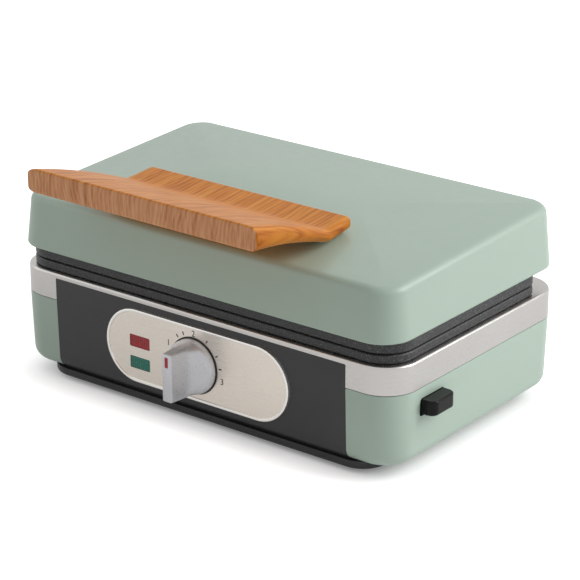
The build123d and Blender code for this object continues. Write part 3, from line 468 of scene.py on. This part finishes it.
def oiled_wood(name):
    """Oiled board: growth rings that run front to back and fine pores. The front face has a paler end grain
    that is also lightened as painted light, and the right side is darkened and deepened as painted shade.
    """
    material, shader = new_material(
        name, roughness=0.36, Coat_Weight=0.03, Coat_Roughness=0.25, Specular_IOR_Level=0.18)
    across = add_node(material, "ShaderNodeSeparateXYZ", {"Vector": place(material)}).outputs["X"]
    drift = noise(material, place(material, (1.0, 0.30, 0.8)), scale=30.0, roughness=0.4)
    turned = combine(material, "MULTIPLY", across, grain_turns)
    wandered = combine(material, "MULTIPLY", drift, grain_drift)
    wave = combine(material, "SINE", combine(material, "ADD", turned, wandered))
    rings = span(material, wave, low=0.38, high=0.60, start=-1.0, end=1.0)
    bands = noise(material, place(material, (1.0, 0.05, 0.11)), scale=330.0, detail=3.0, roughness=0.55)
    tone = combine(
        material, "ADD",
        combine(material, "MULTIPLY", rings, ring_share), combine(material, "MULTIPLY", bands, band_share),
    )
    colour = ramp(material, tone, [
        (0.38, from_screen(178, 98, 30)),
        (0.47, from_screen(210, 124, 40)),
        (0.56, from_screen(228, 142, 50)),
        (0.70, from_screen(240, 162, 72)),
    ])
    # End grain on the front face: paler in tone, and also lightened as painted light where the front lies in
    # shade.
    end_grain_with_painted_light = ramp(material, tone, [
        (0.38, from_screen(192, 126, 82)),
        (0.47, from_screen(218, 150, 104)),
        (0.56, from_screen(232, 166, 118)),
        (0.70, from_screen(242, 184, 138)),
    ])
    fine = noise(material, place(material, (1.0, 0.03, 0.06)), scale=1500.0, roughness=0.6)
    pores = ramp(material, fine, [(0.36, (0.58, 0.48, 0.42, 1)), (0.50, (1, 1, 1, 1))])
    facing = add_node(material, "ShaderNodeTexCoord").outputs["Normal"]
    facing_parts = add_node(material, "ShaderNodeSeparateXYZ", {"Vector": facing}).outputs
    front_face_share = span(material, facing_parts["Y"], low=1.0, high=0.0, start=-0.9, end=-0.6)
    # Painted shade: faces turned to +x, the right side under the key light, are darkened and deepened in
    # colour.
    right_side_share = span(material, facing_parts["X"], low=0.0, high=1.0, start=0.6, end=0.9)
    painted_right_side_shade = ramp(material, right_side_share, [(0.0, (1, 1, 1, 1)), (1.0, (0.76, 0.68, 0.42, 1))])
    colour = layered(material, colour, end_grain_with_painted_light, front_face_share, "MIX")
    colour = layered(material, colour, pores, pore_share, "MULTIPLY")
    colour = layered(material, colour, painted_right_side_shade, 1.0, "MULTIPLY")
    link(material, colour, shader, "Base Color")
    link(material, span(material, fine, low=0.46, high=0.32, start=0.3, end=0.7), shader, "Roughness")
    link(material, bump(material, fine, strength=0.2, distance=0.00008), shader, "Normal")
    return material


def tinted_lens(name, colour):
    """Tinted plastic with upright prisms moulded inside, and painted glints: its colour runs from darker
    troughs to paler crests over the prisms.
    """
    material, shader = new_material(name, roughness=0.22, Coat_Weight=0.15, Coat_Roughness=0.06)
    still = place(material)
    prisms = add_node(
        material, "ShaderNodeTexWave",
        {"Vector": still, "Scale": 210.0, "Distortion": 0.6, "Detail": 1.0}, bands_direction="X",
    ).outputs["Fac"]
    # Painted glints: the colour is darker and paler over the prisms, in place of the light they catch.
    painted_glints = noise(material, still, scale=700.0)
    painted_prism_glint = combine(material, "MULTIPLY", prisms, painted_glints)
    deep = scaled(colour, 0.55)
    pale = scaled(colour, 1.5, lift=0.05)
    link(material, ramp(material, painted_prism_glint, [(0.0, deep), (0.35, colour), (0.7, pale)]), shader, "Base Color")
    link(material, bump(material, prisms, strength=0.35, distance=0.0002), shader, "Normal")
    return material


def paint_nodes(names, material):
    for name in names:
        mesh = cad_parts[name].data
        mesh.materials.clear()
        mesh.materials.append(material)


def rounded_rectangle(half_width, low, high, low_corner, high_corner, middle=0.0):
    """Points round a rounded rectangle, anticlockwise from its low right corner."""
    points = []
    for side, edge, corner, start in (
        (1, low, low_corner, -90), (1, high, high_corner, 0),
        (-1, high, high_corner, 90), (-1, low, low_corner, 180),
    ):
        across = middle + side * (half_width - corner)
        along = edge + corner if edge == low else edge - corner
        for step in range(corner_steps + 1):
            angle = math.radians(start + 90 * step / corner_steps)
            points.append((across + corner * math.cos(angle), along + corner * math.sin(angle)))
    return points


def circle(middle, height, radius):
    return rounded_rectangle(radius, height - radius, height + radius, radius, radius, middle)


def quarter_round(steps):
    """Points of a quarter round, each as two shares of its radius: one that grows, one that shrinks."""
    angles = [math.radians(90 * step / steps) for step in range(steps + 1)]
    return [(1 - math.cos(angle), 1 - math.sin(angle)) for angle in angles]


def body_loop(inset, height):
    """The housing's outline at a height, moved inwards by inset."""
    corner = max(body_corner - inset, edge_round)
    outline = rounded_rectangle(half_body - inset, body_front + inset, body_back - inset, corner, corner)
    return [(x, y, height) for x, y in outline]


def tray_loop(inset, height):
    """The bottom tray's outline at a height, moved inwards by inset."""
    corner = max(tray_corner - inset, edge_round)
    outline = rounded_rectangle(
        tray_half_width - inset, tray_front + inset, tray_back - inset, corner, corner)
    return [(x, y, height) for x, y in outline]


def opening_loop(height):
    """The outline of the opening for the baking plates, at a height."""
    outline = rounded_rectangle(
        opening_half_width, opening_front, opening_back, opening_corner, opening_corner)
    return [(x, y, height) for x, y in outline]


def crown(x, y):
    """Height of the lid's top surface."""
    fall = lid_front_fall * (lid_back - y) / (lid_back - lid_front)
    along = y - (lid_front + lid_back) / 2
    middle_height = lid_bottom + lid_height - fall
    return middle_height - x * x / (2 * lid_crown_radius) - along * along / (2 * lid_long_radius)


def lid_outline(inset):
    """The lid's outline, moved inwards by inset."""
    return rounded_rectangle(
        half_lid - inset, lid_front + inset, lid_back - inset,
        max(lid_front_corner - inset, edge_round), max(lid_back_corner - inset, edge_round),
    )


def lid_loop(inset, height):
    """The lid's outline at a height."""
    return [(x, y, height) for x, y in lid_outline(inset)]


def crown_loop(inset, depth=0.0):
    """The lid's outline on its crowned top, or a depth under it."""
    return [(x, y, crown(x, y) - depth) for x, y in lid_outline(inset)]


def control_loop(inset, y):
    """The control plate's outline, moved inwards by inset."""
    radius = control_radius - inset
    outline = rounded_rectangle(
        control_half_length - inset, control_z - radius, control_z + radius, radius, radius, control_x)
    return [(x, y, z) for x, z in outline]


def new_piece(name, mesh, material, body, replaced=(), smooth=usual_sharp):
    """Puts the mesh in the scene as a piece that rides on the body."""
    if smooth:
        mesh.shade_smooth()
        mesh.set_sharp_from_angle(angle=math.radians(smooth))
    mesh.materials.append(material)
    piece = bpy.data.objects.new(name, mesh)
    bpy.context.scene.collection.objects.link(piece)
    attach(piece, body)
    if replaced:
        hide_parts(*replaced)


def loft(name, loops, ring=False):
    """Mesh through loops of equal length, in millimetres, closed into a ring or capped at both ends."""
    mesh = bpy.data.meshes.new(name)
    build = bmesh.new()
    rows = [[build.verts.new([value * mm for value in point]) for point in loop] for loop in loops]
    pairs = list(zip(rows, rows[1:]))
    if ring:
        pairs.append((rows[-1], rows[0]))
    else:
        build.faces.new(rows[0])
        build.faces.new(rows[-1])
    for lower, upper in pairs:
        for here in range(len(lower)):
            ahead = (here + 1) % len(lower)
            build.faces.new((lower[here], lower[ahead], upper[ahead], upper[here]))
    bmesh.ops.recalc_face_normals(build, faces=build.faces)
    build.to_mesh(mesh)
    build.free()
    return mesh


def prism(points, axis, low, high):
    """Loops of a straight prism along an axis, from points in the plane across it."""
    order = {
        "x": lambda a, b, level: (level, a, b),
        "y": lambda a, b, level: (a, level, b),
        "z": lambda a, b, level: (a, b, level),
    }[axis]
    return [[order(a, b, level) for a, b in points] for level in (low, high)]


def modified(mesh, kind, **settings):
    """The mesh with one modifier applied."""
    holder = bpy.data.objects.new("holder", mesh)
    bpy.context.scene.collection.objects.link(holder)
    modifier = holder.modifiers.new("change", kind)
    for key, value in settings.items():
        setattr(modifier, key, value)
    graph = bpy.context.evaluated_depsgraph_get()
    made = bpy.data.meshes.new_from_object(holder.evaluated_get(graph))
    made.name = mesh.name
    bpy.data.objects.remove(holder)
    return made


def cut(mesh, prisms):
    """The mesh less the given prisms."""
    for loops in prisms:
        cutter_mesh = loft("cutter", loops)
        cutter = bpy.data.objects.new("cutter", cutter_mesh)
        bpy.context.scene.collection.objects.link(cutter)
        mesh = modified(mesh, "BOOLEAN", operation="DIFFERENCE", solver="EXACT", object=cutter)
        bpy.data.objects.remove(cutter)
    return mesh


def panel_opening(top, corner, top_corner):
    """Prism of the front panel's opening, up to its top."""
    outline = rounded_rectangle(panel_half_width + panel_gap, 0, top, corner, top_corner)
    return prism(outline, "y", body_front - cut_reach, body_front + 2 * panel_wall)


def button_opening(height, low, high):
    """Prism of a latch button's opening, between two places across the machine."""
    outline = rounded_rectangle(
        button_half_length, height - button_half_height, height + button_half_height,
        button_corner, button_corner, latch_y,
    )
    return prism(outline, "x", low, high)


def base_side(height):
    """How far the drafted side of the base has moved inwards at a height."""
    return (band_bottom - height) * base_draft


def build_base(material):
    """Drafted ring with a lip inside the band, a floor flange, and openings for panel, button and cord."""
    profile = []
    for inwards, upwards in reversed(quarter_round(arc_steps)):
        height = shell_bottom + base_edge * upwards
        profile.append((base_side(height) + base_edge * inwards, height))
    profile += [(base_side(shell_top - edge_round), shell_top - edge_round), (top_edge_inset, shell_top)]
    profile += [(lip_outside, shell_top), (lip_outside, shell_top + lip_rise)]
    profile += [(lip_inside, shell_top + lip_rise), (lip_inside, shell_top - lip_drop)]
    profile += [(shell_wall + base_side(shell_bottom + shell_foot), shell_bottom + shell_foot)]
    profile += [(shell_foot, shell_bottom + flange_thick), (flange_inset, shell_bottom + flange_thick)]
    profile += [(flange_inset, shell_bottom)]
    mesh = loft("base_shell_skin", [body_loop(inset, height) for inset, height in profile], ring=True)
    mesh = cut(mesh, [
        panel_opening(band_top + shell_opening_rise, shell_opening_corner, shell_opening_corner),
        button_opening(lower_button_z, half_body - cut_reach, half_body + cut_reach),
        prism(circle(cord_x, cord_z, cord_hole), "y", body_back - cord_cut_depth, body_back + cut_reach),
    ])
    new_piece("base_shell_skin", mesh, material, "base", ["base_shell"])


def build_band(material):
    """Steel band with a rounded top edge and the flange that carries the lower plate."""
    profile = [(steel_sheet, band_bottom), (0, band_bottom), (0, band_top - band_edge)]
    for inwards, downwards in quarter_round(small_arc_steps)[1:]:
        profile.append((band_edge * inwards, band_top - band_edge * downwards))
    loops = [body_loop(inset, height) for inset, height in profile]
    loops.append(body_loop(band_edge + band_flat_start, band_top))
    loops += [opening_loop(band_top), opening_loop(band_top - steel_sheet)]
    loops.append(body_loop(steel_sheet, band_top - steel_sheet))
    mesh = loft("steel_band", loops, ring=True)
    mesh = cut(mesh, [panel_opening(panel_top + panel_gap, shell_opening_corner, band_opening_corner)])
    new_piece("steel_band", mesh, material, "base", ["steel_trim"])


def build_panel(material):
    """Black panel with the base's side profile, softly rounded at its ends and top."""
    back = body_front + panel_wall
    outer = [(back + 3 * panel_taper, shell_bottom)]
    for upwards, inwards in quarter_round(arc_steps):
        height = shell_bottom + base_edge * upwards
        outer.append((body_front + base_side(height) + base_edge * inwards, height))
    outer += [(body_front, band_bottom), (body_front, panel_top), (back, panel_top)]
    outer += [(back + panel_taper, band_bottom), (back + 2 * panel_taper, shell_bottom + base_edge)]
    mesh = loft("panel_skin", [[(x, y, z) for y, z in outer] for x in (-panel_half_width, panel_half_width)])
    mesh = modified(
        mesh, "BEVEL", width=panel_edge * mm, segments=panel_edge_steps, limit_method="ANGLE",
        angle_limit=math.radians(panel_sharp_angle),
    )
    new_piece("panel_skin", mesh, material, "base", ["front_panel"])


def build_tray(material):
    """Shallow dish with vents, recesses for its screws and a rounded lower edge."""
    loops = []
    for upwards, inwards in quarter_round(small_arc_steps):
        loops.append(tray_loop(tray_edge * inwards, tray_bottom + tray_edge * upwards))
    loops += [tray_loop(0, shell_bottom - tray_gap), tray_loop(tray_wall, shell_bottom - tray_gap)]
    loops.append(tray_loop(tray_wall, tray_bottom + tray_wall))
    mesh = loft("tray_skin", loops)
    prisms = [prism(circle(x, y, screw_recess), "z", 0, tray_bottom + screw_recess_depth)
              for x, y in tray_screw_places]
    for column in vent_columns:
        for step in range(vent_rows):
            row = (body_front + body_back) / 2 + (step - (vent_rows - 1) / 2) * vent_pitch
            vent = rounded_rectangle(
                vent_half_length, row - vent_half_width, row + vent_half_width,
                vent_half_width, vent_half_width, column,
            )
            prisms.append(prism(vent, "z", 0, shell_bottom))
    mesh = cut(mesh, prisms)
    new_piece("tray_skin", mesh, material, "base", ["bottom_tray"])


def build_lid(material):
    """Crowned lid cover with drafted sides and rounded edges, hollow inside, and a slot for its button."""
    top_inset = (lid_height - lid_edge) * lid_draft
    flat_start = top_inset + lid_edge
    flat_width = lid_core_inset - top_inset - lid_edge
    loops = []
    for step in range(outside_steps, 0, -1):
        loops.append(crown_loop(flat_start + flat_width * step / outside_steps))
    for downwards, inwards in quarter_round(arc_steps):
        loops.append(crown_loop(top_inset + lid_edge * inwards, lid_edge * downwards))
    loops += [lid_loop(lid_lip * lid_draft, lid_bottom + lid_lip), lid_loop(lid_lip_inset, lid_bottom)]
    loops += [lid_loop(lid_wall, lid_bottom), crown_loop(top_inset + lid_wall, lid_edge + lid_wall)]
    for step in range(inside_steps + 1):
        loops.append(crown_loop(flat_start + flat_width * step / inside_steps, lid_wall))
    mesh = loft("lid_skin", loops)
    slot = button_opening(upper_button_z, -half_lid - lid_slot_outside, lid_slot_inside - half_lid)
    mesh = cut(mesh, [slot])
    new_piece("lid_skin", mesh, material, "lid", ["lid_shell"])


def build_lid_frame(material):
    """Sheet that closes the lid round the upper plate, with holes for its screws."""
    inset = lid_wall + frame_gap
    top = lid_bottom + frame_thick
    loops = [lid_loop(inset, lid_bottom), lid_loop(inset, top), opening_loop(top), opening_loop(lid_bottom)]
    mesh = loft("lid_frame_sheet", loops, ring=True)
    mesh = cut(mesh, [
        prism(circle(x, y, frame_screw_hole), "z", lid_bottom - frame_cut_margin, top + frame_cut_margin)
        for x, y in frame_screw_places
    ])
    new_piece("lid_frame_sheet", mesh, material, "lid", ["lid_frame"])


def build_control_rim(material):
    """Raised rim with a bevelled outer edge, which slopes down to the plate inside it."""
    rim = [control_loop(0, control_seat_y), control_loop(0, control_rim_y + control_chamfer)]
    rim += [control_loop(rim_soft_edge, control_rim_y + rim_soft_edge)]
    rim += [control_loop(control_chamfer, control_rim_y)]
    rim += [control_loop(control_rim_width - rim_slope_start, control_rim_y)]
    rim += [control_loop(control_rim_width - rim_slope_end, control_rim_y + rim_slope_drop)]
    rim += [control_loop(control_rim_width, control_face_y), control_loop(control_rim_width, control_seat_y)]
    mesh = loft("control_rim", rim, ring=True)
    new_piece("control_rim", mesh, material, "base", ["control_plate"])


def build_control_face(material):
    """Brushed plate inside the rim, with openings for the lamp lenses."""
    face = loft("control_face", [
        control_loop(control_rim_width, control_seat_y), control_loop(control_rim_width, control_face_y)])
    holes = []
    for x, z in lens_places:
        outline = rounded_rectangle(
            lens_half_width, z - lens_half_height, z + lens_half_height, lens_corner, lens_corner, x)
        holes.append(prism(outline, "y", lens_cut_front, lens_cut_back))
    new_piece("control_face", cut(face, holes), material, "base", ())


def build_knob(material):
    """Round base that flows into an upright grip bar."""
    loops = []
    for depth, half_width, half_height, corner in knob_levels:
        outline = rounded_rectangle(half_width, knob_z - half_height, knob_z + half_height, corner, corner)
        loops.append([(x, knob_back_y - depth, z) for x, z in outline])
    mesh = loft("knob_skin", loops)
    new_piece("knob_skin", mesh, material, "control_knob", ["knob"], smooth=blend_sharp)


def build_pointer(material):
    """Red mark on the front of the knob's bar."""
    face_y = knob_back_y - knob_levels[-1][0]
    outline = rounded_rectangle(
        pointer_half_width, pointer_low, pointer_high, pointer_corner, pointer_corner)
    mesh = loft("pointer_skin", prism(outline, "y", face_y - mark_thick, face_y + mark_thick))
    new_piece("pointer_skin", mesh, material, "control_knob", ["pointer_mark"])


def build_shade_disc(material):
    """Black disc behind the knob: painted shade in place of the shadow gap at the knob's base."""
    outline = circle(0, knob_z, shade_disc_radius)
    mesh = loft("knob_shade_disc", prism(outline, "y", control_face_y - shade_disc_thick, control_face_y))
    new_piece("knob_shade_disc", mesh, material, "base", ())


def clock_angle(hour):
    """The angle from the right, anticlockwise, of an hour of the clock."""
    return math.radians(90 - 30 * hour)


def build_ticks(material):
    """The dial's ticks, each a thin plate that points at the knob's axis."""
    inner = tick_distance - tick_half_length
    outer = tick_distance + tick_half_length
    for count, hour in enumerate(tick_hours):
        angle = clock_angle(hour)
        across, up = math.cos(angle), math.sin(angle)
        corners = []
        for distance, aside in (
            (inner, -tick_half_width), (inner, tick_half_width),
            (outer, tick_half_width), (outer, -tick_half_width),
        ):
            corners.append((distance * across - aside * up, knob_z + distance * up + aside * across))
        mesh = loft(f"dial_tick_{count}", prism(corners, "y", control_face_y - mark_thick, control_face_y))
        new_piece(f"dial_tick_{count}", mesh, material, "base", (), smooth=0)


def build_numbers(material):
    """The dial's plain numbers."""
    for text, hour, distance in dial_numbers:
        angle = clock_angle(hour)
        curve = bpy.data.curves.new(f"dial_number_{text}", "FONT")
        curve.body = text
        curve.size = number_size * mm
        curve.extrude = mark_thick * mm / 2
        curve.align_x = "CENTER"
        curve.align_y = "CENTER"
        holder = bpy.data.objects.new("holder", curve)
        bpy.context.scene.collection.objects.link(holder)
        graph = bpy.context.evaluated_depsgraph_get()
        mesh = bpy.data.meshes.new_from_object(holder.evaluated_get(graph))
        bpy.data.objects.remove(holder)
        where = Vector((
            distance * math.cos(angle) * mm,
            (control_face_y - mark_thick / 2) * mm,
            (knob_z + distance * math.sin(angle)) * mm,
        ))
        mesh.transform(Matrix.Translation(where) @ Matrix.Rotation(math.radians(90), 4, "X"))
        new_piece(f"dial_number_{text}", mesh, material, "base", (), smooth=0)


def bent(y, heights):
    """Height of one face of the handle: straight behind the bend, an easy curve before it."""
    back, bend, middle, front = heights
    straight = bend + (back - bend) * (y - handle_bend) / (handle_back - handle_bend)
    spread = (y - handle_bend) / (handle_front - handle_bend)
    turn = (handle_middle - handle_bend) / (handle_front - handle_bend)
    bow = (middle - bend - (front - bend) * turn) / (turn * (turn - 1))
    curved = bend + (front - bend) * spread + bow * spread * (spread - 1)
    return (straight + curved + math.sqrt((straight - curved) ** 2 + bend_softness)) / 2


def handle_grid(build, heights):
    """Rows of points over one face of the handle, from its back to its front."""
    grid = []
    for row in range(handle_rows + 1):
        y = handle_back + (handle_front - handle_back) * row / handle_rows
        share = row / handle_rows
        half = handle_back_half_width + (handle_front_half_width - handle_back_half_width) * share
        z = bent(y, heights)
        grid.append([
            build.verts.new((((2 * column / handle_columns - 1) * half + handle_shift) * mm, y * mm, z * mm))
            for column in range(handle_columns + 1)
        ])
    return grid


def handle_weight(edge):
    """The share of the full rounding that a sharp edge of the handle gets."""
    start, end = (vertex.co for vertex in edge.verts)
    along = abs(start.y - end.y) > abs(start.x - end.x)
    upright = abs(start.z - end.z) > handle_upright * mm
    share = (start.y / mm - handle_back) / (handle_front - handle_back)
    if along and not upright:
        return handle_back_share + (1 - handle_back_share) * share
    return handle_front_edge / handle_end_edge


def build_handle(material):
    """Bent wooden board that widens and thickens to the front, with soft edges."""
    mesh = bpy.data.meshes.new("handle_board")
    build = bmesh.new()
    top = handle_grid(build, handle_tops)
    bottom = handle_grid(build, handle_bottoms)
    for grid in (top, bottom):
        for row in range(handle_rows):
            for column in range(handle_columns):
                build.faces.new((grid[row][column], grid[row][column + 1],
                                 grid[row + 1][column + 1], grid[row + 1][column]))
    for row in range(handle_rows):
        for column in (0, handle_columns):
            build.faces.new((top[row][column], top[row + 1][column],
                             bottom[row + 1][column], bottom[row][column]))
    for column in range(handle_columns):
        for row in (0, handle_rows):
            build.faces.new((top[row][column], top[row][column + 1],
                             bottom[row][column + 1], bottom[row][column]))
    bmesh.ops.recalc_face_normals(build, faces=build.faces)
    weights = build.edges.layers.float.new("bevel_weight_edge")
    for edge in build.edges:
        if edge.calc_face_angle(0) > handle_sharp_angle:
            edge[weights] = handle_weight(edge)
    build.to_mesh(mesh)
    build.free()
    mesh = modified(
        mesh, "BEVEL", width=handle_end_edge * mm, segments=handle_edge_steps, limit_method="WEIGHT",
        use_clamp_overlap=False,
    )
    new_piece("handle_board", mesh, material, "lid", ["handle"], smooth=blend_sharp)


def build_handle_seat(material):
    """Raised seat on the lid under the handle's back edge."""
    front = handle_bend + seat_front_gap
    back_height = bent(handle_back, handle_bottoms)
    loops = []
    for step in range(seat_steps + 1):
        x = (2 * step / seat_steps - 1) * (handle_back_half_width - seat_end_gap) + handle_shift
        loops.append([
            (x, front, crown(x, handle_bend) - seat_sink),
            (x, front, max(bent(front, handle_bottoms), crown(x, handle_bend) - seat_least_sink)),
            (x, handle_back, back_height),
            (x, seat_back, back_height + seat_back_rise),
            (x, seat_back, crown(x, seat_back) - seat_sink),
        ])
    mesh = loft("handle_seat_skin", loops)
    new_piece("handle_seat_skin", mesh, material, "lid", ["handle_seat"], smooth=seat_sharp)


def build_inlet(material):
    """Rubber bush for the cord, with a rounded flange on the back wall."""
    wall = body_back - base_side(cord_z)
    loops = []
    for radius, out in bush_profile:
        loops.append([(x, wall + out, z) for x, z in circle(cord_x, cord_z, radius)])
    mesh = loft("inlet_bush", loops, ring=True)
    new_piece("inlet_bush", mesh, material, "base", ["cord_inlet"])


def build_camera():
    """The camera, from its direction, its roll and the point that it looks at."""
    data = bpy.data.cameras.new("camera")
    data.lens = camera_lens
    data.clip_start = camera_near
    data.clip_end = camera_far
    camera = bpy.data.objects.new("camera", data)
    bpy.context.scene.collection.objects.link(camera)
    bpy.context.scene.camera = camera
    back = Vector((
        math.sin(camera_azimuth) * math.cos(camera_elevation),
        -math.cos(camera_azimuth) * math.cos(camera_elevation),
        math.sin(camera_elevation),
    ))
    right = Vector((math.cos(camera_azimuth), math.sin(camera_azimuth), 0))
    up = back.cross(right)
    turned_right = right * math.cos(camera_roll) + up * math.sin(camera_roll)
    turned_up = up * math.cos(camera_roll) - right * math.sin(camera_roll)
    turn = Matrix((turned_right, turned_up, back)).transposed().to_4x4()
    camera.matrix_world = Matrix.Translation(camera_target + back * camera_distance) @ turn


def area_light(name, where, size, power):
    """A square lamp that faces the machine."""
    data = bpy.data.lights.new(name, "AREA")
    data.size = size
    data.energy = power
    light = bpy.data.objects.new(name, data)
    bpy.context.scene.collection.objects.link(light)
    light.location = where
    light.rotation_euler = (light_aim - where).to_track_quat("-Z", "Y").to_euler()


def build_world():
    """White for the camera, nearly white for reflections, a softer grey for the light it gives."""
    world = bpy.data.worlds.new("studio")
    bpy.context.scene.world = world
    world.use_nodes = True
    rays = add_node(world, "ShaderNodeLightPath").outputs
    seen = combine(world, "MAXIMUM", rays["Is Camera Ray"], rays["Is Transmission Ray"])
    glossy = combine(world, "MULTIPLY", rays["Is Glossy Ray"], world_mirrored)
    strength = span(world, combine(world, "MAXIMUM", seen, glossy), low=world_fill, high=1.0)
    background = world.node_tree.nodes["Background"]
    background.inputs["Color"].default_value = (1, 1, 1, 1)
    world.node_tree.links.new(strength, background.inputs["Strength"])


def floor_material():
    """Pale floor that glows for the camera and less in reflections, with a painted contact shadow: its glow
    dims where something stands close.
    """
    material, shader = new_material("floor", roughness=floor_roughness, Specular_IOR_Level=0.0)
    shader.inputs["Base Color"].default_value = (*floor_colour, 1)
    rays = add_node(material, "ShaderNodeLightPath").outputs
    painted_shadow_occlusion = add_node(material, "ShaderNodeAmbientOcclusion", {"Distance": painted_shadow_reach}).outputs["AO"]
    mirrored = combine(material, "MULTIPLY", rays["Is Glossy Ray"], mirrored_share)
    seen = combine(material, "MAXIMUM", rays["Is Camera Ray"], mirrored)
    seen = combine(material, "MAXIMUM", seen, rays["Is Transmission Ray"])
    glow_outside_painted_shadow = span(material, painted_shadow_occlusion, low=painted_shadow_least_glow, high=1.0)
    glow = combine(material, "MULTIPLY", combine(material, "MULTIPLY", seen, floor_glow), glow_outside_painted_shadow)
    shader.inputs["Emission Color"].default_value = (1, 1, 1, 1)
    link(material, glow, shader, "Emission Strength")
    return material


def build_floor():
    """White floor that keeps the lamps' shadow, with a painted contact shadow under the machine, and fades
    into the white background.
    """
    half = floor_size / 2
    mesh = bpy.data.meshes.new("floor")
    corners = [(-half, -half, 0), (half, -half, 0), (half, half, 0), (-half, half, 0)]
    mesh.from_pydata(corners, [], [(0, 1, 2, 3)])
    mesh.materials.append(floor_material())
    floor = bpy.data.objects.new("floor", mesh)
    bpy.context.scene.collection.objects.link(floor)


build_camera()
build_world()
build_floor()
area_light("key_light", key_place, key_size, key_power)
area_light("front_light", front_place, front_size, front_power)

# Materials that more than one piece uses
mint = lacquer("mint_lacquer", pale=from_screen(185, 205, 190), deep=from_screen(181, 201, 186))
rubber = moulded_plastic("rubber", from_screen(34, 34, 34), roughness=0.7, grain=900.0)
dark_paint = moulded_plastic("black_paint", from_screen(30, 30, 31), roughness=0.5)
mark_ink = moulded_plastic("mark_ink", from_screen(40, 40, 40), roughness=0.6)

# Housing and lid
build_base(mint)
build_band(brushed_metal(
    "band_steel", from_screen(206, 203, 200), from_screen(192, 189, 186), stretch=(0.03, 0.03, 1)))
build_panel(moulded_plastic("panel_plastic", from_screen(50, 50, 52), roughness=0.5))
build_tray(moulded_plastic("tray_plastic", from_screen(38, 38, 39), roughness=0.36))
build_lid(mint)
build_lid_frame(dark_paint)

# Controls
build_control_rim(brushed_metal("rim_steel", from_screen(250, 248, 244), from_screen(240, 238, 234)))
build_control_face(brushed_metal(
    "control_steel", from_screen(236, 228, 218), from_screen(224, 216, 206), stretch=(0.012, 1, 1)))
# Painted shade: a black disc behind the knob.
build_shade_disc(dark_paint)
build_ticks(mark_ink)
build_numbers(mark_ink)
build_knob(moulded_plastic(
    "knob_plastic", from_screen(222, 224, 229), roughness=0.30, depth=0.000008, metallic=0.30))
build_pointer(moulded_plastic("pointer_red", from_screen(178, 24, 34), roughness=0.3))

# Handle, its seat and the cord's bush
build_handle(oiled_wood("handle_wood"))
build_handle_seat(mint)
build_inlet(rubber)

# Nodes that keep their CAD shapes
paint_nodes(["rubber_feet"], rubber)
paint_nodes(button_nodes, moulded_plastic(
    "button_plastic", from_screen(4, 4, 4), roughness=0.12, grain=1600.0, depth=0.000004,
    Specular_IOR_Level=0.2,
))
paint_nodes(plate_nodes, coated_metal("plate_coating"))
paint_nodes(["power_lens"], tinted_lens("red_lens", from_screen(186, 8, 24)))
paint_nodes(["ready_lens"], tinted_lens("green_lens", from_screen(0, 132, 112)))
paint_nodes(steel_nodes, brushed_metal("plain_steel", from_screen(190, 188, 186), from_screen(160, 158, 156)))
paint_nodes(hinge_nodes, dark_paint)
paint_nodes(pale_nodes, moulded_plastic("pale_plastic", from_screen(222, 220, 212), roughness=0.5))

bpy.context.scene.view_settings.view_transform = "Standard"
